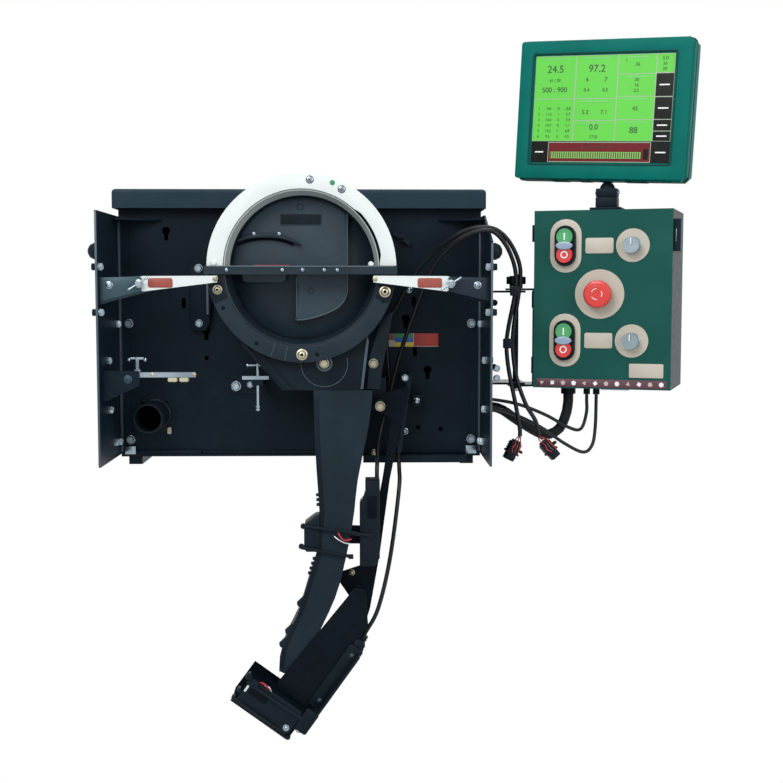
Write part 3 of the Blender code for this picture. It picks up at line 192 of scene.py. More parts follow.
class Shade:
    """Makes node materials from finishes, each once."""

    made: dict[str, bpy.types.Material] = {}

    @classmethod
    def get(cls, name: str) -> bpy.types.Material:
        """Gives the material of a finish.

        Args:
            name: A key of FINISHES.

        Returns:
            The material, made on first use.
        """
        if name not in cls.made:
            cls.made[name] = cls._build(name, FINISHES[name])
        return cls.made[name]

    @staticmethod
    def _noise(tree: bpy.types.NodeTree, coords: bpy.types.NodeSocket, scale: float, detail: float) -> bpy.types.Node:
        """A noise texture on object coordinates."""
        noise = tree.nodes.new("ShaderNodeTexNoise")
        noise.inputs["Scale"].default_value = scale
        noise.inputs["Detail"].default_value = detail
        tree.links.new(coords, noise.inputs["Vector"])
        return noise

    @classmethod
    def _build(cls, name: str, look: Finish) -> bpy.types.Material:
        """Builds one material: drifting colour, edges turned to the second colour (wear, and on the cover's sheen
        finish a painted highlight), uneven shine and fine relief.
        """
        material = bpy.data.materials.new(name)
        material.use_nodes = True
        tree = material.node_tree
        shader = tree.nodes["Principled BSDF"]
        shader.inputs["Metallic"].default_value = look.metallic
        shader.inputs["Coat Weight"].default_value = look.coat
        shader.inputs["Coat Roughness"].default_value = 0.25
        shader.inputs["Specular IOR Level"].default_value = look.specular
        coords = tree.nodes.new("ShaderNodeTexCoord").outputs["Object"]
        broad = cls._noise(tree, coords, 14.0, 6.0)
        fine = cls._noise(tree, coords, look.grain, 3.0)
        scuff = cls._noise(tree, coords, 95.0, 8.0)

        drift = tree.nodes.new("ShaderNodeMapRange")
        drift.inputs["From Min"].default_value = 0.38
        drift.inputs["From Max"].default_value = 0.72
        drift.inputs["To Max"].default_value = look.mottle
        tree.links.new(broad.outputs["Fac"], drift.inputs["Value"])
        factor = drift.outputs["Result"]
        if look.edge:
            factor = cls._edge_wear_and_highlight(tree, look.edge, factor, scuff.outputs["Fac"])
        mix = tree.nodes.new("ShaderNodeMix")
        mix.data_type = "RGBA"
        mix.inputs["A"].default_value = (*look.colour, 1.0)
        mix.inputs["B"].default_value = (*look.worn_and_sheen, 1.0)
        tree.links.new(factor, mix.inputs["Factor"])
        tree.links.new(mix.outputs["Result"], shader.inputs["Base Color"])
        if look.glow:
            tree.links.new(mix.outputs["Result"], shader.inputs["Emission Color"])
            shader.inputs["Emission Strength"].default_value = look.glow

        shine = tree.nodes.new("ShaderNodeMapRange")
        shine.inputs["To Min"].default_value = max(0.05, look.roughness - 0.1)
        shine.inputs["To Max"].default_value = look.roughness + 0.14
        tree.links.new(scuff.outputs["Fac"], shine.inputs["Value"])
        tree.links.new(shine.outputs["Result"], shader.inputs["Roughness"])
        if look.relief:
            bump = tree.nodes.new("ShaderNodeBump")
            bump.inputs["Strength"].default_value = look.relief
            bump.inputs["Distance"].default_value = 0.0004
            tree.links.new(fine.outputs["Fac"], bump.inputs["Height"])
            tree.links.new(bump.outputs["Normal"], shader.inputs["Normal"])
        return material

    @staticmethod
    def _edge_wear_and_highlight(
        tree: bpy.types.NodeTree, amount: float, factor: bpy.types.NodeSocket, scuff: bpy.types.NodeSocket
    ) -> bpy.types.NodeSocket:
        """Adds paler, scuffed edges to a mixing factor and returns the sum; on the cover's sheen finish the paler
        edges are a painted highlight.
        """
        edge = tree.nodes.new("ShaderNodeMapRange")
        edge.inputs["From Min"].default_value = 0.51
        edge.inputs["From Max"].default_value = 0.6
        edge.inputs["To Max"].default_value = amount
        tree.links.new(tree.nodes.new("ShaderNodeNewGeometry").outputs["Pointiness"], edge.inputs["Value"])
        broken = tree.nodes.new("ShaderNodeMath")
        broken.operation = "MULTIPLY"
        tree.links.new(edge.outputs["Result"], broken.inputs[0])
        tree.links.new(scuff, broken.inputs[1])
        total = tree.nodes.new("ShaderNodeMath")
        total.operation = "ADD"
        total.use_clamp = True
        tree.links.new(factor, total.inputs[0])
        tree.links.new(broken.outputs["Value"], total.inputs[1])
        return total.outputs["Value"]


# ---- shapes ----

ALONG = {
    "X": Matrix(((0, 0, 1, 0), (1, 0, 0, 0), (0, 1, 0, 0), (0, 0, 0, 1))),
    "Y": Matrix(((1, 0, 0, 0), (0, 0, -1, 0), (0, 1, 0, 0), (0, 0, 0, 1))),
    "Z": Matrix.Identity(4),
}


class Maker:
    """Makes pieces in the frame, finishes them and hangs them on a body."""

    @staticmethod
    def keep(
        bm: bmesh.types.BMesh, name: str, finish: str, body: Body = Body.STAND,
        where: Optional[Matrix] = None, edge: float = 0.0, segments: int = 2,
    ) -> bpy.types.Object:
        """Turns a bmesh into a finished piece.

        Args:
            bm: The shape, which is freed.
            name: The piece's name.
            finish: A key of FINISHES.
            body: The body it rides on.
            where: A frame to place it by.
            edge: Width of the rounded edges, 0 for none.
            segments: Steps across each rounded edge.

        Returns:
            The new object.
        """
        if where is not None:
            bmesh.ops.transform(bm, matrix=where, verts=bm.verts)
        bmesh.ops.recalc_face_normals(bm, faces=bm.faces)
        mesh = bpy.data.meshes.new(name)
        bm.to_mesh(mesh)
        bm.free()
        obj = bpy.data.objects.new(name, mesh)
        bpy.context.scene.collection.objects.link(obj)
        mesh.materials.append(Shade.get(finish))
        if edge:
            bevel = obj.modifiers.new("edge", "BEVEL")
            bevel.width = edge
            bevel.segments = segments
            bevel.limit_method = "ANGLE"
            bevel.angle_limit = math.radians(35)
            Maker.apply(obj)
        obj.data.shade_smooth()
        obj.data.set_sharp_from_angle(angle=math.radians(38))
        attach(obj, body.value)
        LOG.info("made %s", name)
        return obj

    @staticmethod
    def apply(obj: bpy.types.Object) -> None:
        """Applies every modifier of an object."""
        bpy.ops.object.select_all(action="DESELECT")
        bpy.context.view_layer.objects.active = obj
        obj.select_set(True)
        for modifier in list(obj.modifiers):
            bpy.ops.object.modifier_apply(modifier=modifier.name)
        obj.select_set(False)

    @staticmethod
    def block(name: str, low: Point3, high: Point3, finish: str, body: Body = Body.STAND,
              where: Optional[Matrix] = None, edge: float = 0.0006) -> bpy.types.Object:
        """A block with rounded edges, from its low corner to its high corner."""
        bm = bmesh.new()
        bmesh.ops.create_cube(bm, size=1)
        size, middle = Vector(high) - Vector(low), (Vector(high) + Vector(low)) / 2
        matrix = Matrix.Translation(middle) @ Matrix.Diagonal((*size, 1))
        bmesh.ops.transform(bm, matrix=matrix, verts=bm.verts)
        return Maker.keep(bm, name, finish, body, where, edge)

    @staticmethod
    def slab(name: str, outline: Sequence[Point2], low: float, high: float, axis: str, finish: str,
             body: Body = Body.STAND, where: Optional[Matrix] = None, edge: float = 0.0005,
             segments: int = 2, hole: Optional[Sequence[Point2]] = None) -> bpy.types.Object:
        """A flat outline with a thickness; X takes (y, z) points, Y takes (x, z), Z takes (x, y).

        Args:
            name: The piece's name.
            outline: The outline's points, in order.
            low: Where it starts along the axis.
            high: Where it ends along the axis.
            axis: X, Y or Z.
            finish: A key of FINISHES.
            body: The body it rides on.
            where: A frame to place it by.
            edge: Width of the rounded edges.
            segments: Steps across each rounded edge.
            hole: An inner outline with as many points as the outer one, for a frame or ring.

        Returns:
            The new object.
        """
        bm = bmesh.new()
        near, far = (low, high) if axis != "Y" else (-high, -low)
        rings = []
        for height in (near, far):
            for points in ([outline] if hole is None else [outline, hole]):
                rings.append([bm.verts.new((across, up, height)) for across, up in points])
        count = len(outline)
        if hole is None:
            bm.faces.new(rings[0])
            bm.faces.new(rings[1])
            pairs = [(0, 1)]
        else:
            pairs = [(0, 2), (1, 3), (0, 1), (2, 3)]
        for a, b in pairs:
            for i in range(count):
                j = (i + 1) % count
                bm.faces.new((rings[a][i], rings[a][j], rings[b][j], rings[b][i]))
        bmesh.ops.transform(bm, matrix=ALONG[axis], verts=bm.verts)
        return Maker.keep(bm, name, finish, body, where, edge, segments)

    @staticmethod
    def lathe(name: str, profile: Sequence[Point2], start: Point3, towards: Point3, finish: str,
              body: Body = Body.STAND, sides: int = 40, where: Optional[Matrix] = None) -> bpy.types.Object:
        """A turned piece: (radius, distance along the axis) points from start towards a direction."""
        bm = bmesh.new()
        rows = []
        for radius, along in profile:
            if radius < 1e-6:
                rows.append([bm.verts.new((0, 0, along))])
                continue
            turns = [2 * math.pi * i / sides for i in range(sides)]
            rows.append([bm.verts.new((radius * math.cos(t), radius * math.sin(t), along)) for t in turns])
        for a, b in zip(rows, rows[1:]):
            for i in range(sides):
                j = (i + 1) % sides
                corners = [a[i % len(a)], a[j % len(a)], b[j % len(b)], b[i % len(b)]]
                corners = list(dict.fromkeys(corners))
                if len(corners) > 2:
                    bm.faces.new(corners)
        turn = Vector(towards).to_track_quat("Z", "Y").to_matrix().to_4x4()
        bmesh.ops.transform(bm, matrix=Matrix.Translation(Vector(start)) @ turn, verts=bm.verts)
        return Maker.keep(bm, name, finish, body, where)

    @staticmethod
    def wire(name: str, points: Sequence[Point3], radius: float, finish: str, body: Body = Body.STAND,
             closed: bool = False, where: Optional[Matrix] = None) -> bpy.types.Object:
        """A round wire along a smooth curve through the points."""
        if where is not None:
            points = [tuple(where @ Vector(point)) for point in points]
        curve = bpy.data.curves.new(name, "CURVE")
        curve.dimensions = "3D"
        curve.bevel_depth = radius
        curve.bevel_resolution = 5
        curve.resolution_u = 1
        curve.use_fill_caps = True
        spline = curve.splines.new("POLY")
        route = Line.smooth(points, max(0.004, 1.2 * radius))
        spline.points.add(len(route) - 1)
        for spot, place in zip(spline.points, route):
            spot.co = (*place, 1)
        spline.use_cyclic_u = closed
        obj = bpy.data.objects.new(name, curve)
        bpy.context.scene.collection.objects.link(obj)
        curve.materials.append(Shade.get(finish))
        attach(obj, body.value)
        LOG.info("made %s", name)
        return obj

    @staticmethod
    def bolt(name: str, at: Point3, out: Point3, radius: float, finish: str = "zinc_blue",
             body: Body = Body.STAND, hexagon: bool = True) -> None:
        """A washer with a hexagon head or a button head with a recess, standing out of a face."""
        height = radius * (0.95 if hexagon else 0.75)
        reach = radius * (1.14 if hexagon else 1.3)
        washer = [(0, 0), (reach, 0), (reach, radius * 0.14), (reach * 0.96, radius * 0.18), (0, radius * 0.18)]
        Maker.lathe(name + "_washer", washer, at, out, finish, body, 28)
        base = Vector(at) + Vector(out).normalized() * radius * 0.16
        if hexagon:
            head = [(0, 0), (radius, 0), (radius, height * 0.78), (radius * 0.86, height), (radius * 0.62, height),
                    (radius * 0.56, height * 0.84), (0, height * 0.84)]
            Maker.lathe(name, head, base, out, finish, body, 6)
            return
        steps = [(radius * math.cos(t), height * math.sin(t)) for t in (0, 0.3, 0.6, 0.9, 1.15)]
        head = [(0, 0), *steps, (radius * 0.36, height * 0.92), (radius * 0.36, height * 0.4), (0, height * 0.4)]
        Maker.lathe(name, head, base, out, finish, body, 28)

    @staticmethod
    def words(name: str, text: str, size: float, where: Matrix, finish: str, body: Body) -> None:
        """A flat number or sign, standing on a face."""
        curve = bpy.data.curves.new(name, "FONT")
        curve.body = text
        curve.size = size
        curve.align_x = "CENTER"
        curve.align_y = "CENTER"
        curve.extrude = 0.0001
        obj = bpy.data.objects.new(name, curve)
        bpy.context.scene.collection.objects.link(obj)
        bpy.context.view_layer.update()
        mesh = bpy.data.meshes.new_from_object(obj.evaluated_get(bpy.context.evaluated_depsgraph_get()))
        bpy.data.objects.remove(obj, do_unlink=True)
        mesh.transform(where)
        mesh.materials.clear()
        mesh.materials.append(Shade.get(finish))
        made = bpy.data.objects.new(name, mesh)
        bpy.context.scene.collection.objects.link(made)
        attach(made, body.value)


class Line:
    """Points along arcs, slots and smooth routes."""

    @staticmethod
    def arc(x: float, z: float, radius: float, start: float, end: float, steps: int) -> list[Point2]:
        """Points on a circle from one angle in degrees to another."""
        turns = [math.radians(start + (end - start) * i / steps) for i in range(steps + 1)]
        return [(x + radius * math.cos(t), z + radius * math.sin(t)) for t in turns]

    @staticmethod
    def rounded(left: float, right: float, low: float, high: float, radius: float) -> list[Point2]:
        """A rectangle with rounded corners."""
        corners = [(right - radius, high - radius, 0), (left + radius, high - radius, 90),
                   (left + radius, low + radius, 180), (right - radius, low + radius, 270)]
        return [spot for x, z, turn in corners for spot in Line.arc(x, z, radius, turn, turn + 90, 5)]

    @staticmethod
    def smooth(points: Sequence[Point3], spacing: float) -> list[Vector]:
        """Evenly spaced points along a smooth curve through the given ones.

        Args:
            points: The route's own points.
            spacing: Distance between the points returned, in metres.

        Returns:
            The points, from the first to the last.
        """
        spots = [Vector(p) for p in points]
        knots = [2 * spots[0] - spots[1], *spots, 2 * spots[-1] - spots[-2]]
        fine = []
        for before, here, after, later in zip(knots, knots[1:], knots[2:], knots[3:]):
            for step in range(16):
                t = step / 16
                spot = 2 * here + (after - before) * t
                spot += (2 * before - 5 * here + 4 * after - later) * t * t
                spot += (3 * here - before - 3 * after + later) * t * t * t
                fine.append(spot / 2)
        fine.append(spots[-1])
        length = sum((b - a).length for a, b in zip(fine, fine[1:]))
        count = max(2, round(length / spacing))
        line, walked, goal = [fine[0]], 0.0, length / count
        for a, b in zip(fine, fine[1:]):
            part = (b - a).length
            while part and walked + part >= goal and len(line) < count:
                line.append(a.lerp(b, (goal - walked) / part))
                goal += length / count
            walked += part
        return [*line, fine[-1]]

    @staticmethod
    def length(points: Sequence[Vector]) -> float:
        """The length of a chain of points."""
        return sum((b - a).length for a, b in zip(points, points[1:]))


# ---- camera and cords, first ----


@dataclass
class Viewpoint:
    """Where the camera stands and how it looks.

    Attributes:
        place: The camera's place.
        yaw: Degrees that it turns towards +X from looking along +Y.
        pitch: Degrees that it looks down.
        lens: Focal length in millimetres on a 36 mm sensor.
    """

    place: Point3 = (0.096, -1.9, 0.261)
    yaw: float = 1.2
    pitch: float = 4.57
    lens: float = 58.25

    def build(self) -> None:
        """Creates the scene's camera."""
        data = bpy.data.cameras.new("camera")
        data.lens = self.lens
        data.sensor_width = 36.0
        data.clip_start = 0.05
        camera = bpy.data.objects.new("camera", data)
        bpy.context.scene.collection.objects.link(camera)
        camera.location = self.place
        camera.rotation_euler = (math.radians(90 - self.pitch), 0, math.radians(-self.yaw))
        bpy.context.scene.camera = camera


@dataclass(frozen=True)
class CordRoute:
    """One cord: its route's own points, thickness and what is on it."""

    name: str
    points: tuple[Point3, ...]
    radius: float
    finish: str
    far_end: str
    stiffness: str
    lay: str
    pieces: tuple[str, ...] = ()


class ControlFrame:
    """The control box's own directions: u across its door, v into the box, w up."""

    def __init__(self) -> None:
        self.corner = Vector(JOINTS["door_swing"]["pos_m"])
        self.v = Vector(JOINTS["meter_start_press"]["axis"]).normalized()
        self.u = Vector((self.v.y, -self.v.x, 0))
        self.matrix = Matrix.Identity(4)
        for column, axis in enumerate((self.u, self.v, Vector(UP), self.corner)):
            for row in range(3):
                self.matrix[row][column] = axis[row]

    def at(self, u: float, v: float, w: float) -> Vector:
        """A world point from the box's own directions."""
        return self.matrix @ Vector((u, v, w))


CONTROL = ControlFrame()


@dataclass
class Plug:
    """One sealed connector on the end of a hanging lead: seal, shell, collar, latch, mating half and loose wires.

    Attributes:
        node: The solid it stands for.
        end: Where the lead ends.
        lean: Degrees that its length turns from straight down towards +X.
        shift: How far its top stands aside of the lead's end, along X.
        wide: Width of the shell.
        deep: Depth of the shell.
    """

    node: str
    end: Vector
    lean: float
    shift: float
    wide: float = 0.0165
    deep: float = 0.014

    def __post_init__(self) -> None:
        top = self.end + Vector((self.shift, 0, -0.006))
        self.place = Matrix.Translation(top) @ Matrix.Rotation(
            math.radians(-self.lean), 4, "Y") @ Matrix.Rotation(math.radians(14), 4, "Z")

    def part(
            self, name: str, x: Point2, y: Point2, z: Point2, finish: str = "moulded_black",
            edge: float = 0.0006) -> bpy.types.Object:
        """A block of the connector; z counts down from its top."""
        return Maker.block(
            f"{self.node}_{name}", (x[0], y[0], -z[1]), (x[1], y[1], -z[0]), finish, where=self.place, edge=edge)

    def build(self) -> list[bpy.types.Object]:
        """Builds the connector.

        Returns:
            Its pieces, all riding on the stand.
        """
        w, d = self.wide / 2, self.deep / 2
        shell = self.part("shell", (-w, w), (-d, d), (0.003, 0.02), edge=0.0016)
        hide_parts(self.node)
        pieces = [
            shell,
            self.part("seal", (-w + 0.002, w - 0.002), (-d + 0.002, d - 0.002), (0.0, 0.0032), "sleeve_black", 0.001),
            self.part("collar", (-w - 0.0012, w + 0.0012), (-d - 0.0012, d + 0.0012), (0.0172, 0.0206), edge=0.0008),
            self.part("mate", (-w + 0.001, w - 0.001), (-d + 0.0008, d - 0.0008), (0.0204, 0.0305), edge=0.0012),
            self.part("latch", (-0.0036, 0.0036), (-d - 0.0034, -d - 0.0016), (0.0075, 0.026), edge=0.0007),
            self.part("latch_root", (-0.0036, 0.0036), (-d - 0.0024, -d + 0.0004), (0.0062, 0.009), edge=0.0004),
            self.part("latch_bar", (-0.0058, 0.0058), (-d - 0.004, -d - 0.001), (0.0228, 0.0252), edge=0.0006),
            self.part("side_wing", (w - 0.0004, w + 0.0062), (-0.005, 0.0034), (0.011, 0.015), edge=0.001),
        ]
        for i in range(3):
            z = 0.006 + i * 0.0036
            pieces.append(
                self.part(
                    f"rib_{i}", (-w - 0.0005, w + 0.0005), (-d + 0.003, d + 0.0006), (z, z + 0.0012), "guard_black",
                0.0003))
        turned = self.place.inverted() @ self.end
        for i, side in enumerate((-0.0034, 0.0, 0.0034)):
            path = [
                turned + Vector((side * 0.4, 0, -0.0004)), Vector((side * 1.2 + 0.0008, -0.001, 0.0012)),
                Vector((side * 1.1, -d - 0.003 - 0.0006 * i, -0.005)),
                Vector((side * 1.6 - 0.001, -d - 0.0048, -0.012 - 0.002 * i)),
                Vector((side * 1.3 + 0.002, -d - 0.0026, -0.018)), Vector((side, -d + 0.0008, -0.0215))]
            finish = "wire_red" if i != 1 else "wire_green"
            pieces.append(
                Maker.wire(f"{self.node}_wire_{i}", [tuple(spot) for spot in path], 0.0009, finish, where=self.place))
        return pieces


class Cords:
    """The sensor leads with their connectors, the sleeved trunk and the drop cords."""

    glands: tuple[float, ...] = (0.0415, 0.069, 0.083)
    gland_v: float = 0.05

    def gland(self, index: int, below: float = 0.0) -> tuple[float, float, float]:
        """The point under one of the box's glands where its cord leaves."""
        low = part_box("control_box")[0]
        spot = CONTROL.at(self.glands[index], self.gland_v + GAP, 0)
        return spot.x, spot.y, low[2] - 2 * GAP - below

    def routes(self) -> list[CordRoute]:
        """The cords' routes, in metres."""
        sensor_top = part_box("mid_sensor")[1][2]
        return [
            CordRoute("lead_middle", (
                (0.113, -0.088, sensor_top + 2 * GAP), (0.113, -0.0865, 0.002), (0.1135, -0.08, 0.014),
                (0.116, -0.056, 0.042), (0.122, -0.045, 0.068), (0.131, -0.042, 0.1), (0.139, -0.042, 0.136),
                (0.154, -0.05, 0.189), (0.186, -0.066, 0.277), (0.21, -0.085, 0.316), (0.24, -0.112, 0.338),
                (0.271, -0.124, 0.344), (0.293, -0.118, 0.325), (0.308, -0.104, 0.293), (0.31, -0.096, 0.26),
                (0.301, -0.09, 0.207), (0.299, -0.087, 0.18), (0.303, -0.085, 0.145), (0.314, -0.085, 0.092),
                (0.3193, -0.085, 0.062), (0.3195, -0.085, 0.0507)),
                0.0031, "cord_black", "connector", "medium", "hanging", ("connector_mid",)),
            CordRoute("lead_lower", (
                (0.0946215, -0.101, -0.2349635), (0.1145, -0.096, -0.198), (0.132, -0.086, -0.126),
                (0.145, -0.072, -0.03), (0.146, -0.052, 0.0), (0.144, -0.04, 0.027), (0.139, -0.034, 0.06),
                (0.133, -0.028, 0.12), (0.128, -0.03, 0.205), (0.144, -0.04, 0.24), (0.17, -0.05, 0.287),
                (0.195, -0.062, 0.314), (0.234, -0.095, 0.343), (0.271, -0.11, 0.3488), (0.297, -0.104, 0.333),
                (0.316, -0.092, 0.298), (0.317, -0.084, 0.262), (0.31, -0.08, 0.21), (0.309, -0.079, 0.175),
                (0.315, -0.078, 0.135), (0.328, -0.078, 0.098), (0.342, -0.078, 0.074), (0.3472, -0.078, 0.058),
                (0.3476, -0.078, 0.0487)),
                0.0031, "cord_black", "connector", "medium", "hanging", ("connector_low",)),
            CordRoute("trunk", (
                self.gland(0), self.gland(0, 0.01), (0.394, -0.0342, 0.078), (0.383, -0.0342, 0.055),
                (0.36, -0.0342, 0.048), (0.325, -0.0342, 0.067), (0.3, -0.0342, 0.084), (0.287, -0.0342, 0.0885),
                (0.2735, -0.0342, 0.089)), 0.0075, "sleeve_black", "object", "medium", "hanging"),
            CordRoute("drop_front", (
                self.gland(1), self.gland(1, 0.008), (0.4225, -0.045, 0.08), (0.414, -0.047, 0.057),
                (0.395, -0.05, 0.06), (0.36, -0.052, 0.079), (0.318, -0.053, 0.095), (0.2733, -0.053, 0.103)),
                0.0025, "cord_black", "object", "medium", "hanging"),
            CordRoute("drop_rear", (
                self.gland(2), self.gland(2, 0.008), (0.435, -0.05, 0.06), (0.43, -0.054, 0.034),
                (0.416, -0.058, 0.024), (0.387, -0.062, 0.038), (0.352, -0.065, 0.062), (0.31, -0.066, 0.082),
                (0.2733, -0.066, 0.092)), 0.0025, "cord_black", "object", "medium", "hanging"),
        ]

    lie = {"connector_mid": (-26.0, -0.004), "connector_low": (40.0, 0.006)}
    solids = {"lead_middle": "sensor_lead_mid", "lead_lower": "sensor_lead_low", "trunk": "trunk_cable",
              "drop_front": "drop_cord_1", "drop_rear": "drop_cord_2"}

    def build(self) -> None:
        """Makes each cord along its route and declares its real length."""
        for route in self.routes():
            curve = Maker.wire(route.name, route.points, route.radius, route.finish)
            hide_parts(self.solids[route.name])
            line = Line.smooth(route.points, max(0.004, 1.2 * route.radius))
            pieces = [
                piece for name in route.pieces for piece in Plug(
                name, Vector(route.points[-1]), *self.lie[name]).build()]
            round(Line.length(line), 3)
            LOG.info("cord %s is %.3f m long", route.name, Line.length(line))


# ---- cabinet ----


class Cabinet:
    """Sheet-metal cabinet: finishes of its plates, bolts, angles, the coloured label and the port."""

    finishes = {
        "cabinet_black": (
            "back_panel", "left_side_plate", "right_side_plate", "rear_housing", "base_pan", "right_arm_bracket",
            "clamp_bracket", "support_bracket", "monitor_ball", "latch_bracket", "hook_bar", "swing_arm",
        "control_box", "door_latch", "monitor_post"), "lid_texture": ("top_cover",),
        "bracket_slate": ("left_arm_bracket",), "guard_black": ("hanger_arm", "guard_plate"),
        "moulded_black": ("vacuum_port", "meter_housing", "upper_wing_nut", "lower_wing_nut", "star_knob"),
        "tube_black": ("seed_tube",),
        "zinc_blue": ("drive_coupling", "clamp_bar", "clamp_screw", "latch_lever", "finger_wheel", "drive_motor"),
        "door_green": ("box_door",), "white_plastic": ("upper_half_ring", "left_meter_arm", "right_meter_arm"),
        "cover_slate": ("meter_cover", "lower_half_ring", "mouth_plate"), "teal_case": ("monitor_housing",),
        "start_green": ("meter_start_button", "air_start_button"),
        "stop_red": ("meter_stop_button", "air_stop_button", "e_stop_button"),
        "knob_metal": ("meter_knob", "air_knob"),}
    rounded = {"back_panel": 0.0, "top_cover": 0.0008, "seed_tube": 0.0016, "meter_housing": 0.0008,
               "control_box": 0.0012, "box_door": 0.001, "star_knob": 0.0008, "monitor_post": 0.0012,
               "mouth_plate": 0.0008, "vacuum_port": 0.0004}
    plate_bolts = ((-0.146, 0.293), (-0.146, 0.2305), (-0.098, 0.1615), (-0.091, 0.091), (-0.055, 0.04))
    panel_bolts = ((0.2555, 0.2115), (0.2555, 0.0375))

    def dress(self) -> None:
        """Gives every carried-over solid its finish and rounded edges."""
        for finish, names in self.finishes.items():
            for name in names:
                node = frame["nodes"][name]
                node.data.materials.clear()
                node.data.materials.append(Shade.get(finish))
                width = self.rounded.get(name, 0.0005)
                if width:
                    bevel = node.modifiers.new("edge", "BEVEL")
                    bevel.width = width
                    bevel.segments = 2
                    bevel.limit_method = "ANGLE"
                    bevel.angle_limit = math.radians(40)

    def bolts(self) -> None:
        """Bolts the side plates, their angles and the bottom tabs."""
        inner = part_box("left_side_plate")[0][0] + 0.0032
        for side, name in ((-1, "left"), (1, "right")):
            for i, (y, z) in enumerate(self.plate_bolts):
                Maker.bolt(f"{name}_plate_bolt_{i}", (side * abs(inner), y, z), (-side, 0, 0), 0.0055)
                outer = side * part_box("right_side_plate")[1][0]
                Maker.bolt(f"{name}_plate_nut_{i}", (outer, y, z), (side, 0, 0), 0.0055, "cabinet_black")
            for i, (x, z) in enumerate(self.panel_bolts):
                Maker.bolt(f"{name}_angle_bolt_{i}", (side * x, -0.0033, z), FORWARD, 0.006)
                Maker.bolt(f"{name}_flange_bolt_{i}", (side * abs(inner), -0.026, z), (-side, 0, 0), 0.0055)
            Maker.block(
                f"{name}_clip_nut", (side * 0.2555 - 0.008, -0.0085, 0.016), (side * 0.2555 + 0.008, -0.0033, 0.028),
                "zinc_blue")
            Maker.lathe(
                f"{name}_dome", [(0, 0), (0.012, 0), (0.012, 0.006), (0.009, 0.012), (0.004, 0.015), (0, 0.015)],
                (side * 0.2725, -0.125, 0.315), (side, 0, 0), "moulded_black")

    def trim(self) -> None:
        """Gussets, the plate edges and angle ribs as pale strips painted as highlights, and the hemmed bottom flange.
        """
        low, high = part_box("left_side_plate")
        for side, name in ((-1, "left"), (1, "right")):
            outline = [
                (side * 0.269, -0.0004), (side * 0.269, -0.045), (side * 0.262, -0.045), (side * 0.205, -0.0004)]
            Maker.slab(f"{name}_gusset", outline, 0.3625, 0.3655, "Z", "cabinet_black")
            top = high[2] if side < 0 else 0.327
            x = side * abs(low[0])
            # A pale strip on the plate's front edge: a painted highlight where the edge catches the light.
            Maker.block(f"{name}_grey_trim_and_painted_highlight", (min(x, x - side * 0.003), low[1] - 0.0006, low[2] + 0.001),
                        (max(x, x - side * 0.003), low[1] - 0.0001, top - 0.001), "grey_trim_and_painted_highlight", edge=0.0001)
            # The angle's rib in pale grey: a painted highlight along the bend.
            Maker.slab(
                f"{name}_angle_rib",
                [
                    (side * 0.2688, -0.0004), (side * 0.2688, -0.012), (side * 0.2658, -0.012),
                (side * 0.2658, -0.002), (side * 0.2645, -0.0004)], 0.02, 0.366, "Z", "grey_trim_and_painted_highlight", edge=0.0002)
        Maker.block("bottom_flange", (-0.269, -0.0065, 0.0165), (-0.15, -0.0004, 0.0215), "cabinet_black")
        Maker.block("bottom_hem", (-0.148, -0.0045, 0.0165), (0.25, -0.0004, 0.0195), "cabinet_black")

    def label(self) -> None:
        """The coloured, wordless label on the panel."""
        left, right, low, high = 0.1235, 0.206, 0.1765, 0.1965
        y = -0.0006
        split, middle = left + 0.0175, left + 0.045
        Maker.block("label_back", (left, y, low), (right, -0.0001, high), "beige_label", edge=0.0001)
        cells = [("brown_cell", left, split, low + 0.01, high)]
        for i, finish in enumerate(("yellow_cell", "blue_cell", "green_cell")):
            step = (high - low) / 3
            cells.append((finish, split, middle, low + i * step, low + (i + 1) * step))
        cells.append(("red_cell", middle + 0.001, right, low + 0.001, high))
        for i, (finish, x0, x1, z0, z1) in enumerate(cells):
            Maker.block(f"label_cell_{i}", (x0, y - 0.0003, z0), (x1, y, z1), finish, edge=0.00005)

    def port(self) -> None:
        """The hose nozzle's collar, screws and tag."""
        low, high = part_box("vacuum_port")
        x, z = (low[0] + high[0]) / 2, (low[2] + high[2]) / 2
        collar = [(0.0212, 0), (0.0235, 0.001), (0.0235, 0.007), (0.0212, 0.008)]
        Maker.lathe("port_collar", [*collar, collar[0]], (x, -0.0032, z), FORWARD, "moulded_black")
        lip = [(0.0206, 0), (0.0216, 0.0008), (0.0216, 0.0035), (0.0206, 0.0042)]
        Maker.lathe("port_lip", [*lip, lip[0]], (x, low[1] + 0.0045, z), FORWARD, "moulded_black")
        Maker.slab("port_tag", Line.rounded(x + 0.017, x + 0.023, z - 0.03, z - 0.02, 0.0012), -0.0048, -0.0034, "Y",
                   "beige_label")
        for turn in (45, 135, 225, 315):
            spot = (x + 0.0262 * math.cos(math.radians(turn)), -0.0033, z + 0.0262 * math.sin(math.radians(turn)))
            Maker.bolt(f"port_screw_{turn}", spot, FORWARD, 0.0024, "cabinet_black", hexagon=False)

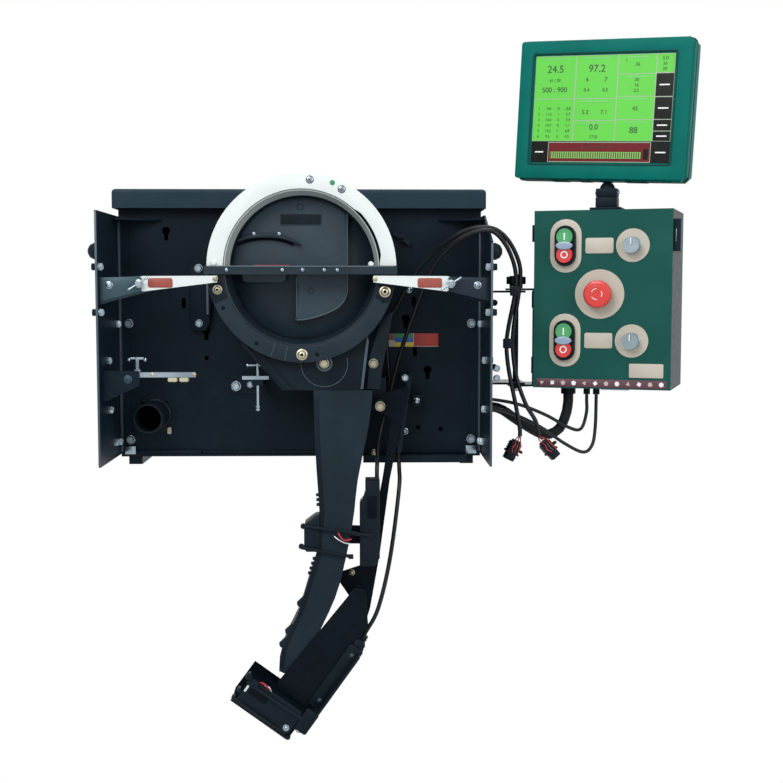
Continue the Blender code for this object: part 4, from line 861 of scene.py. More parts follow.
    def back(self) -> None:
        """The rear housing's louvres, screws and rear plate."""
        low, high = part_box("rear_housing")
        rear = high[1]
        for column in (-0.15, 0.15):
            for i in range(9):
                z = 0.14 + i * 0.017
                hood = [(rear + 0.0001, z), (rear + 0.0001, z + 0.009), (rear + 0.003, z + 0.002), (rear + 0.003, z)]
                Maker.slab(
                    f"louvre_{'left' if column < 0 else 'right'}_{i}", hood, column - 0.045, column + 0.045, "X",
                    "cabinet_black", edge=0.0006)
        for i, x in enumerate((-0.256, 0.0, 0.256)):
            for j, z in enumerate((low[2] + 0.014, 0.19, 0.365)):
                if x or j != 1:
                    Maker.bolt(f"rear_screw_{i}_{j}", (x, rear, z), (0, 1, 0), 0.0036, "zinc_blue", hexagon=False)
        for side, name in ((-1, "left"), (1, "right")):
            for i, (y, z) in enumerate(((0.04, 0.04), (0.175, 0.04), (0.04, 0.36), (0.175, 0.36))):
                Maker.bolt(
                    f"{name}_housing_screw_{i}", (side * high[0], y, z), (side, 0, 0), 0.0034, "zinc_blue",
                    hexagon=False)
        Maker.slab(
            "rear_plate", Line.rounded(-0.06, 0.06, 0.05, 0.11, 0.006), rear + 0.0001, rear + 0.0016, "Y",
            "cabinet_black")

    def build(self) -> None:
        """Builds the cabinet's looks."""
        self.back()
        self.dress()
        self.bolts()
        self.trim()
        self.label()
        self.port()


# ---- meter ----


@dataclass
class Meter:
    """The meter's rings, bowl, cover and bolts, round its own axis.

    Attributes:
        ring: Outer radius of the rings.
        bore: Inner radius of the rings.
        bowl: Inner radius of the bowl.
        pitch: Radius of the circle of ring bolts.
    """

    ring: float = 0.132
    bore: float = 0.109
    bowl: float = 0.1083
    pitch: float = 0.1205

    def __post_init__(self) -> None:
        spot = JOINTS["drive_spin"]["pos_m"]
        self.x, self.z = spot[0], spot[2]
        low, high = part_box("upper_half_ring")
        self.front, self.back = -low[1], -high[1]
        self.cover_front = -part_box("meter_cover")[1][1] + 0.003

    def polar(self, radius: float, turn: float) -> Point2:
        """A point round the meter's axis, as (x, z)."""
        return self.x + radius * math.cos(math.radians(turn)), self.z + radius * math.sin(math.radians(turn))

    def rings(self) -> None:
        """White upper half with its notch, black lower half with its split lines."""
        outer = Line.arc(self.x, self.z, self.ring, 0.3, 179.7, 60)
        inner = []
        for i in range(61):
            turn = 0.3 + 179.4 * i / 60
            notch = 0.0028 * min(1.0, max(0.0, (turn - 4) / 5), max(0.0, (48 - turn) / 5)) if turn < 60 else 0.0
            inner.append(self.polar(self.bore + notch, turn))
        white = self.band("ring_upper", outer, inner, "white_plastic")
        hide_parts("upper_half_ring")
        outer = Line.arc(self.x, self.z, self.ring, 180.3, 359.7, 60)
        inner = Line.arc(self.x, self.z, self.bore - 0.0004, 180.3, 359.7, 60)
        black = self.band("ring_lower", outer, inner, "cover_slate")
        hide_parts("lower_half_ring")
        # The split lines are thin pale wires: painted highlights on the split's edges.
        for i, turn in enumerate((-109.5, -100.5)):
            a, b = self.polar(self.bore + 0.001, turn), self.polar(self.ring - 0.001, turn)
            Maker.wire(f"ring_split_{i}", [(a[0], -self.front - 0.0001, a[1]), (b[0], -self.front - 0.0001, b[1])],
                       0.0005, "grey_trim_and_painted_highlight")
        for i, turn in enumerate((-153, -121, -80, -22)):
            x, z = self.polar(self.pitch + 0.002, turn)
            Maker.lathe(f"ring_dimple_{i}", [(0, 0), (0.0028, 0), (0.0024, 0.0004), (0, 0.0002)], (x, -self.front, z),
                        FORWARD, "guard_black", sides=20)
        for name, start in (("left", -166), ("right", -14)):
            pad = Line.arc(self.x, self.z, self.ring - 0.0012, start - 8, start + 8, 8)
            pad += Line.arc(self.x, self.z, self.bore + 0.0015, start + 8, start - 8, 8)
            Maker.slab(f"ring_pad_{name}", pad, -self.front - 0.0012, -self.front - 0.0001, "Y", "moulded_black")

    def band(self, name: str, outer: list[Point2], inner: list[Point2], finish: str) -> bpy.types.Object:
        """Half a ring from matching outer and inner arcs, with rounded edges."""
        return Maker.slab(name, outer + inner[::-1], -self.front, -self.back, "Y", finish, edge=0.0011, segments=3)

    def liner(self) -> None:
        """The bowl's sloping wall, pale grey above as the white plastic in painted shade and dark below, with a
        fillet at the cover's edge.
        """
        floor = self.cover_front + 0.0158 - self.front
        # The upper wall takes a grey copy of the white plastic: painted shade inside the bowl.
        for name, start, finish in (("upper", 1, "shaded_liner"), ("lower", 181, "cover_slate")):
            rows = [(self.bowl - 0.0002, 0.0012), (self.bowl - 0.0016, 0.002), (self.bowl - 0.0046, 0.02),
                    (self.bowl - 0.0066, 0.0245), (self.bowl - 0.0066, -floor), (self.bowl - 0.0002, -floor)]
            self.sector(f"bowl_wall_{name}", rows, start, start + 178, finish)
        rows = [(self.bowl - 0.0064, 0.0246), (self.bowl - 0.0084, 0.0262), (self.bowl - 0.0094, 0.03),
                (self.bowl - 0.0094, -floor - 0.001), (self.bowl - 0.0064, -floor - 0.001)]
        self.sector("bowl_lip", rows, 181, 539, "moulded_black")

    def sector(self, name: str, rows: list[Point2], start: float, end: float, finish: str, steps: int = 72) -> None:
        """Part of a turned ring: (radius, depth behind the rings' front) rows swept from one angle to another."""
        bm = bmesh.new()
        fans = []
        for i in range(steps + 1):
            turn = start + (end - start) * i / steps
            fans.append([bm.verts.new((*self.polar(radius, turn), -self.front + depth)) for radius, depth in rows])
        for vert in bm.verts:
            vert.co = (vert.co.x, vert.co.z, vert.co.y)
        for a, b in zip(fans, fans[1:]):
            for i in range(len(rows)):
                j = (i + 1) % len(rows)
                bm.faces.new((a[i], a[j], b[j], b[i]))
        bm.faces.new(fans[0])
        bm.faces.new(fans[-1][::-1])
        Maker.keep(bm, name, finish)

    def cover(self) -> None:
        """The moulded cover in the bowl: base disc, raised field, pocket, finger lip and blank plate."""
        front, radius = self.cover_front, self.bowl - 0.0017
        base = Maker.lathe(
            "cover_base",
            [(0.0068, 0), (radius, 0), (radius, 0.0022), (radius - 0.0012, 0.003), (0.0068, 0.003), (0.0068, 0)],
            (self.x, -front + 0.003, self.z), FORWARD, "cover_slate", sides=90)
        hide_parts("meter_cover")
        field = Line.arc(self.x, self.z, radius - 0.0035, 52, 178, 60)
        field += [(self.x - 0.101, 0.2895), (-0.082, 0.2895), (-0.08, 0.274), (-0.074, 0.2705), (-0.022, 0.2705),
                  (-0.016, 0.2745), (-0.015, 0.289), (-0.002, 0.286), (-0.0005, 0.262), (-0.0015, 0.224),
                  (-0.007, 0.2165), (0.014, 0.218), (0.04, 0.2245), (0.06, 0.236), (0.0705, 0.248), (0.0735, 0.26)]
        # The raised field and pocket take the paler cover colour: painted sheen on the faces that catch the light.
        Maker.slab("cover_field", field, -front - 0.012, -front - 0.0002, "Y", "cover_painted_sheen", edge=0.0046, segments=5)
        pocket = Line.rounded(-0.08, -0.017, 0.2715, 0.2885, 0.0045)
        Maker.slab(
            "cover_pocket", pocket, -front - 0.0075, -front - 0.0002, "Y", "cover_painted_sheen", edge=0.004, segments=4)
        # Thin pale wires along the field's right wall and its step: painted highlights on those edges.
        ridge = [(0.0712, -front - 0.0118, z) for z in (0.37, 0.34, 0.3, 0.265)]
        ridge += [(0.0695, -front - 0.0118, 0.253), (0.06, -front - 0.0118, 0.2385), (0.04, -front - 0.0118, 0.2275),
                  (0.014, -front - 0.0118, 0.22), (-0.001, -front - 0.0118, 0.2185)]
        Maker.wire("cover_ridge", ridge, 0.0015, "grey_trim_and_painted_highlight")
        Maker.wire(
            "cover_step", [(-0.001, -front - 0.0118, z) for z in (0.28, 0.26, 0.24, 0.2225)], 0.0012, "grey_trim_and_painted_highlight")
        self.lip(front)
        Maker.slab(
            "blank_plate_rim", Line.rounded(-0.024, 0.035, 0.3525, 0.369, 0.0012), -front - 0.0125, -front - 0.0118,
            "Y", "cover_slate", edge=0.0003, hole=Line.rounded(-0.0228, 0.0338, 0.3537, 0.3678, 0.0008))
        Maker.slab(
            "blank_plate", Line.rounded(-0.0225, 0.0335, 0.354, 0.3675, 0.0008), -front - 0.0122, -front - 0.0118,
            "Y", "moulded_black", edge=0.0001)
        for name, x, z, size in (("mark", 0.0045, 0.3785, 0.0045), ("vent", 0.0195, 0.2605, 0.0042)):
            ring = [(size - 0.0008, 0), (size, 0.0004), (size, 0.0008), (size - 0.0008, 0.0008), (size - 0.0008, 0)]
            Maker.lathe(f"cover_{name}", ring, (x, -front - 0.0119, z), FORWARD, "moulded_black", sides=24)

    def lip(self, front: float) -> None:
        """The curved finger lip across the cover with a dark strip under it painted as its shadow."""
        top = Line.arc(-0.0445, 0.25, 0.092, 122, 58, 20)
        bottom = [(x, z - 0.0045 - 0.003 * (1 - abs(i - 10) / 10)) for i, (x, z) in enumerate(top)]
        Maker.slab(
            "finger_lip", top + bottom[::-1], -front - 0.0235, -front - 0.0115, "Y", "cover_slate", edge=0.0013,
            segments=3)
        # A near-black strip under the lip: a painted shadow.
        shade = [(x, z - 0.006) for x, z in top[2:-2]] + [(x, z - 0.0102) for x, z in top[2:-2]][::-1]
        Maker.slab("lip_shade", shade, -front - 0.0124, -front - 0.0119, "Y", "guard_black", edge=0.0001)
        for i, x in enumerate((-0.06, -0.0245)):
            Maker.lathe(
                f"lip_stud_{i}", [(0, 0), (0.0027, 0), (0.0022, 0.0012), (0, 0.0016)], (x, -front - 0.0233, 0.3405),
                FORWARD, "zinc_blue", sides=20)

    def bolts(self) -> None:
        """Cream button heads, chrome screws, the green dot and the white pegs."""
        y = -self.front
        for i, (turn, size) in enumerate(((-90, 0.0078), (-165.5, 0.0065), (-15.9, 0.0078))):
            x, z = self.polar(self.pitch, turn)
            Maker.bolt(f"ring_bolt_{i}", (x, y - 0.0013, z), FORWARD, size * 0.78, "zinc_cream", hexagon=False)
            socket = [(0, 0), (size * 0.3, 0), (size * 0.3, 0.0004), (0, 0.0004)]
            Maker.lathe(f"ring_socket_{i}", socket, (x, y - size * 0.5, z), FORWARD, "guard_black", sides=6)
        for i, turn in enumerate((84.3, 62.6)):
            x, z = self.polar(self.pitch + 0.0015, turn)
            Maker.lathe(
                f"ring_screw_seat_{i}", [(0, 0), (0.0056, 0), (0.0052, 0.0006), (0, 0.0006)], (x, y, z), FORWARD,
                "grey_trim_and_painted_highlight", sides=28)
            Maker.bolt(f"ring_screw_{i}", (x, y - 0.0006, z), FORWARD, 0.0034, "chrome", hexagon=False)
            Maker.lathe(
                f"ring_screw_socket_{i}", [(0, 0), (0.0013, 0), (0.0013, 0.0004), (0, 0.0004)], (x, y - 0.0024, z),
                FORWARD, "guard_black", sides=6)
        x, z = self.polar(self.pitch + 0.0045, 69.7)
        Maker.lathe(
            "green_dot", [(0, 0), (0.0036, 0), (0.003, 0.0008), (0, 0.001)], (x, y, z), FORWARD, "green_cell",
            sides=24)
        for i, (x, z) in enumerate(((-0.1132, 0.2985), (0.1045, 0.297))):
            Maker.lathe(
                f"ring_peg_{i}", [(0, 0), (0.004, 0), (0.004, 0.001), (0.003, 0.0022), (0, 0.0026)],
                (x, y - 0.0001, z), FORWARD, "white_plastic", sides=24)

    def case(self) -> None:
        """The gear case's stiffening strips, embossed circle and bolts."""
        y = -0.1117
        # The embossed circle and the right rib are pale: painted highlights on their edges.
        arc_points = [self.point(0.0385, 0.158, 0.033, turn) for turn in range(158, 383, 9)]
        Maker.wire("case_circle", [(x, y - 0.0003, z) for x, z in arc_points], 0.0006, "grey_trim_and_painted_highlight")
        Maker.slab(
            "case_side_bar",
            [(0.099, 0.1215), (0.1175, 0.1215), (0.1205, 0.15), (0.136, 0.232), (0.118, 0.219), (0.103, 0.17)],
            -0.1135, -0.0985, "Y", "moulded_black", edge=0.001)
        Maker.slab(
            "case_rib_right", [(0.0895, 0.1215), (0.0935, 0.1215), (0.1015, 0.19), (0.0985, 0.197)], y - 0.0022, y,
            "Y", "grey_trim_and_painted_highlight", edge=0.0006)
        for i, shift in enumerate((0.0, 0.016)):
            strip = [(-0.0775 + shift, 0.192 - shift / 3), (-0.0775 + shift, 0.184), (-0.0205 + shift, 0.1205),
                     (-0.0165 + shift, 0.1205)]
            Maker.slab(f"case_rib_left_{i}", strip, y - 0.003 + i * 0.001, y, "Y", "moulded_black", edge=0.0006)
        Maker.bolt("case_bolt", (0.0385, y, 0.158), FORWARD, 0.0062, "zinc_cream")
        Maker.lathe(
            "case_bolt_ring", [(0.0085, 0), (0.01, 0.0006), (0.0115, 0), (0.0085, 0)], (0.0385, y, 0.158), FORWARD,
            "grey_trim_and_painted_highlight")
        Maker.bolt("side_bar_bolt", (0.108, -0.1135, 0.158), FORWARD, 0.006, "zinc_cream")

    @staticmethod
    def point(x: float, z: float, radius: float, turn: float) -> Point2:
        """A point round any centre, as (x, z)."""
        return x + radius * math.cos(math.radians(turn)), z + radius * math.sin(math.radians(turn))

    def mouth(self) -> None:
        """Pegs and folded edge of the mouth plate."""
        low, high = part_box("mouth_plate")
        for i, x in enumerate((-0.095, -0.018, 0.01, 0.04, 0.058)):
            Maker.lathe(
                f"mouth_peg_{i}", [(0, 0), (0.0026, 0), (0.0022, 0.002), (0, 0.0026)], (x, low[1], high[2] - 0.006),
                FORWARD, "zinc_blue", sides=16)
        # The fold as a pale strip: a painted highlight along the mouth plate's folded edge.
        Maker.block(
            "mouth_edge", (low[0] + 0.004, low[1] - 0.0009, high[2] - 0.0022),
            (high[0] - 0.004, low[1] - 0.0001, high[2]), "grey_trim_and_painted_highlight", edge=0.0003)
        Maker.block(
            "mouth_red_line", (-0.058, low[1] + 0.001, high[2] + 0.0001), (-0.008, low[1] + 0.003, high[2] + 0.0008),
            "wire_red", edge=0.0001)

    def build(self) -> None:
        """Builds the meter's looks."""
        self.rings()
        self.liner()
        self.cover()
        self.bolts()
        self.case()
        self.mouth()


# ---- arms, clamp and latches ----


class Arms:
    """The two white arms that press on the mouth plate, with their blank labels, hubs and rivets."""

    def one(self, name: str, side: int, body: Body) -> None:
        """One arm: label, hub boss, diagonal bar's grip and its rivet."""
        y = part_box(f"{name}_meter_arm")[0][1]
        z = JOINTS[f"{name}_arm_swing"]["pos_m"][2]
        x0, x1 = sorted((side * 0.169, side * 0.203))
        Maker.slab(
            f"{name}_arm_label", Line.rounded(x0, x1, z - 0.0055, z + 0.0078, 0.003), y - 0.0006, y - 0.0001, "Y",
            "brick_red", body=body, edge=0.0002)
        hub = JOINTS[f"{name}_arm_swing"]["pos_m"][0]
        wall = side * (abs(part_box("left_side_plate")[0][0]) - 0.0035)
        leaf = [(wall, z + 0.0088), (side * 0.2118, z + 0.0088), (side * 0.2118, z - 0.0105), (wall, z - 0.0245)]
        Maker.slab(
            f"{name}_arm_leaf", leaf, y - 0.0028, y - 0.001, "Y", "bracket_slate" if side < 0 else "arm_blue",
            edge=0.0004)
        self.handle(name, (hub, y - 0.0029, z), Body.LEFT_THUMB if side < 0 else Body.RIGHT_THUMB)
        rivet = -0.256 if side < 0 else 0.252
        Maker.bolt(f"{name}_rivet", (rivet, y - 0.0028, z - 0.002), FORWARD, 0.004, "zinc_blue", hexagon=False)
        tip_x = side * 0.1105
        Maker.bolt(f"{name}_tip_pin", (tip_x, y, z + 0.0065), FORWARD, 0.0028, "zinc_cream", body=body, hexagon=False)

    def handle(self, name: str, at: Point3, body: Body) -> None:
        """The T-handle screw that locks an arm: washer, stem, bar with ball ends.

        Args:
            name: The arm's name.
            at: Where the screw leaves the bracket.
            body: The body it turns with.
        """
        stem = [
            (0, 0), (0.0058, 0), (0.0058, 0.0012), (0.0036, 0.0016), (0.0036, 0.005), (0.0044, 0.0062),
            (0.0044, 0.0094), (0.0034, 0.0104), (0, 0.0106)]
        screw = Maker.lathe(f"{name}_handle_stem", stem, at, FORWARD, "zinc_blue", body=body, sides=28)
        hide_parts(f"{name}_thumb_screw")
        lean = Vector((math.cos(math.radians(32)), 0, math.sin(math.radians(32))))
        middle = Vector(at) + Vector((0, -0.0079, 0))
        bar = [
            (0, 0), (0.0012, 0.0002), (0.0016, 0.001), (0.0015, 0.004), (0.0012, 0.007), (0.0012, 0.026),
            (0.0015, 0.029), (0.0016, 0.032), (0.0012, 0.0328), (0, 0.033)]
        Maker.lathe(f"{name}_handle_bar", bar, middle - lean * 0.0165, lean, "zinc_blue", body=body, sides=20)

    def build(self) -> None:
        """Builds both arms' details."""
        self.one("left", -1, Body.LEFT_ARM)
        self.one("right", 1, Body.RIGHT_ARM)


class Clamp:
    """The lower left clamp's pads, pin, handle and the toggle plate on the panel."""

    def build(self) -> None:
        """Builds the clamp's details."""
        low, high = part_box("clamp_bar")
        middle = (low[1] + high[1]) / 2
        for i, (x0, x1) in enumerate(((-0.179, -0.166), (-0.163, -0.1505))):
            Maker.slab(
                f"clamp_pad_{i}", Line.rounded(x0, x1, low[2] - 0.0066, low[2] - 0.0001, 0.002), middle - 0.0065,
                middle + 0.006, "Y", "pad_cream", body=Body.CLAMP_BAR, edge=0.0012, segments=3)
        for i, x in enumerate((-0.2, -0.142)):
            Maker.bolt(f"clamp_pin_{i}", (x, low[1], (low[2] + high[2]) / 2), FORWARD, 0.0022, "zinc_cream",
                       body=Body.CLAMP_BAR, hexagon=False)
        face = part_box("clamp_bracket")[0][1]
        Maker.bolt("clamp_bracket_pin", (-0.2335, face, 0.1375), FORWARD, 0.0045, "bracket_slate", hexagon=False)
        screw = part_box("clamp_screw")
        top = screw[1][2]
        Maker.lathe(
            "clamp_screw_collar", [(0.0031, 0), (0.0062, 0), (0.0062, 0.0028), (0.005, 0.0036), (0.0031, 0.0036)],
            (-0.222, middle, screw[0][2] + 0.0004), UP, "zinc_blue", body=Body.CLAMP_SCREW)
        for i, side in enumerate((-1, 1)):
            ball = [(0, 0), (0.0024, 0.0008), (0.003, 0.0024), (0.0024, 0.004), (0, 0.0048)]
            Maker.lathe(
                f"clamp_handle_{i}", ball, (-0.222 + side * 0.0088, middle, top - 0.0038), (side, 0, 0), "zinc_blue",
                body=Body.CLAMP_SCREW, sides=20)
        for i in range(9):
            z = screw[0][2] + 0.0055 + i * 0.0013
            Maker.lathe(
                f"clamp_thread_{i}", [(0.0029, 0), (0.0034, 0.0003), (0.0029, 0.0006)], (-0.222, middle, z), UP,
                "zinc_blue", body=Body.CLAMP_SCREW, sides=20)
        self.toggle()

    def toggle(self) -> None:
        """The toggle's plate low on the panel, left of the meter."""
        plate = [(-0.164, 0.205), (-0.16, 0.201), (-0.14, 0.201), (-0.134, 0.212), (-0.13, 0.25), (-0.131, 0.296),
                 (-0.156, 0.298), (-0.164, 0.292)]
        Maker.slab("toggle_plate", plate, -0.012, -0.0004, "Y", "cabinet_black", edge=0.0015, segments=3)
        Maker.slab(
            "toggle_strip", Line.rounded(-0.1385, -0.1345, 0.225, 0.288, 0.0015), -0.0185, -0.0121, "Y", "grey_trim_and_painted_highlight",
            edge=0.0008)
        Maker.bolt("toggle_bolt", (-0.15, -0.0121, 0.2935), FORWARD, 0.0055, "zinc_blue")
        Maker.bolt("toggle_bolt_low", (-0.15, -0.0121, 0.212), FORWARD, 0.005, "zinc_blue")


class Latches:
    """The lower left latch's bolt, the panel's zinc screws and the small parts on the panel."""

    def build(self) -> None:
        """Builds the latches' details."""
        Maker.bolt("latch_bolt", (-0.097, -0.0032, 0.118), FORWARD, 0.0066, "zinc_blue")
        Maker.bolt("latch_stud", (-0.076, -0.0032, 0.12), FORWARD, 0.0042, "zinc_blue")
        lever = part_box("latch_lever")
        x, y = JOINTS["latch_turn"]["pos_m"][:2]
        for i, z in enumerate((lever[0][2] + 0.0004, lever[0][2] + 0.005)):
            Maker.lathe(
                f"latch_ring_{i}", [(0.003, 0), (0.0046, 0.0004), (0.0046, 0.0024), (0.003, 0.0028), (0.003, 0)],
                (x, y, z), UP, "zinc_blue", body=Body.LATCH_LEVER, sides=24)
        for i, side in enumerate((-0.015, 0.001)):
            Maker.lathe(
                f"latch_tip_{i}", [(0, 0), (0.0024, 0.0005), (0.0028, 0.002), (0.0024, 0.0035), (0, 0.004)],
                (x + side - 0.001, y, lever[1][2] - 0.002), (1, 0, 0), "zinc_blue", body=Body.LATCH_LEVER, sides=20)
        for i, (px, pz) in enumerate(((0.156, 0.049), (0.162, 0.262))):
            Maker.bolt(f"panel_screw_{i}", (px, -0.0001, pz), FORWARD, 0.004, "zinc_blue", hexagon=False)
        Maker.block("panel_block", (0.166, -0.018, 0.088), (0.181, -0.0002, 0.106), "moulded_black", edge=0.0012)
        Maker.bolt("panel_block_screw", (0.1735, -0.0181, 0.097), FORWARD, 0.003, "zinc_blue", hexagon=False)
        for name, body in (("upper_wing_nut", Body.UPPER_WING_NUT), ("lower_wing_nut", Body.LOWER_WING_NUT)):
            spot = JOINTS[f"{name}_turn"]["pos_m"]
            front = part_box(name)[0][1]
            Maker.bolt(
                f"{name}_tip", (spot[0], front, spot[2]), FORWARD, 0.003, "moulded_black", body=body, hexagon=False)
        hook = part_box("hook_bar")
        Maker.bolt(
            "hook_bolt", ((hook[0][0] + hook[1][0]) / 2 + 0.001, hook[0][1], hook[1][2] - 0.0045), FORWARD, 0.0042,
            "zinc_blue")


# ---- seed tube, sensors and guard ----


@dataclass(frozen=True)
class Slanted:
    """A box's own directions in the X-Z plane: along its length and across it.

    Attributes:
        x: Its middle.
        z: Its middle.
        turn: Degrees from +X to its length, turning from +X towards +Z.
    """

    x: float
    z: float
    turn: float

    def at(self, along: float, across: float) -> Point2:
        """A point as (x, z)."""
        c, s = math.cos(math.radians(self.turn)), math.sin(math.radians(self.turn))
        return self.x + c * along - s * across, self.z + s * along + c * across

    def outline(
            self, length: float, width: float, along: float = 0.0, across: float = 0.0,
            corner: float = 0.0) -> list[Point2]:
        """A rectangle, with cut corners if a corner is given."""
        a, b, c = length / 2, width / 2, corner
        raw = [(-a, -b + c), (-a + c, -b), (a - c, -b), (a, -b + c), (a, b - c), (a - c, b), (-a + c, b), (-a, b - c)]
        if not c:
            raw = [(-a, -b), (a, -b), (a, b), (-a, b)]
        return [self.at(along + u, across + v) for u, v in raw]


class SeedTube:
    """The curved tube's rim, fins and teeth, and the hanger arm's fittings."""

    left = (
        (0.0232, 0.11), (0.0254, 0.0317), (0.0296, -0.0353), (0.0305, -0.0603), (0.0258, -0.1163), (0.0155, -0.1483),
        (0.001, -0.1963), (-0.0135, -0.2273), (-0.0255, -0.2543), (-0.0283, -0.28))

    def build(self) -> None:
        """Builds the tube's and hanger arm's details."""
        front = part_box("seed_tube")[0][1]
        strip = [(x + 0.0012, z) for x, z in self.left] + [(x + 0.0068, z) for x, z in self.left][::-1]
        Maker.slab("tube_rim", strip, front - 0.0012, front + 0.0006, "Y", "moulded_black", edge=0.0005)
        for i, z in enumerate((-0.1866, -0.227, -0.246)):
            self.fin(i, z, front)
        for i, z in enumerate((-0.03, -0.037, -0.044, -0.122, -0.129, -0.136, -0.143)):
            x = self.edge_at(z)
            Maker.block(
                f"tube_tooth_{i}", (x - 0.0035, front + 0.002, z - 0.002), (x + 0.0005, front + 0.0075, z + 0.002),
                "tube_black", edge=0.0006)
        self.hanger()

    def fin(self, index: int, z: float, front: float) -> None:
        """A small triangular fin on the tube's left edge."""
        root = self.edge_at(z)
        outline = [
            (root + 0.004, z + 0.011), (root - 0.0065, z + 0.001), (root - 0.0055, z - 0.004),
            (root + 0.002, z - 0.009)]
        Maker.slab(f"tube_fin_{index}", outline, front + 0.002, front + 0.008, "Y", "tube_black", edge=0.0008)

    def edge_at(self, z: float) -> float:
        """X of the tube's left edge at a height."""
        for (x0, z0), (x1, z1) in zip(self.left, self.left[1:]):
            if z1 <= z <= z0:
                return x0 + (x1 - x0) * (z0 - z) / (z0 - z1)
        return self.left[-1][0]

    def hanger(self) -> None:
        """The hanger arm's pivot bolt, ear screw and arm screw."""
        low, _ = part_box("hanger_arm")
        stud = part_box("meter_housing")[0][1]
        Maker.bolt("pivot_bolt", (0.1175, min(stud, low[1] - 0.0003), 0.097), FORWARD, 0.0062, "zinc_cream")
        Maker.bolt("ear_screw", (0.076, low[1], -0.153), FORWARD, 0.0036, "zinc_cream", hexagon=False)
        Maker.bolt("arm_screw", (0.109, low[1], 0.025), FORWARD, 0.0034, "zinc_cream", hexagon=False)


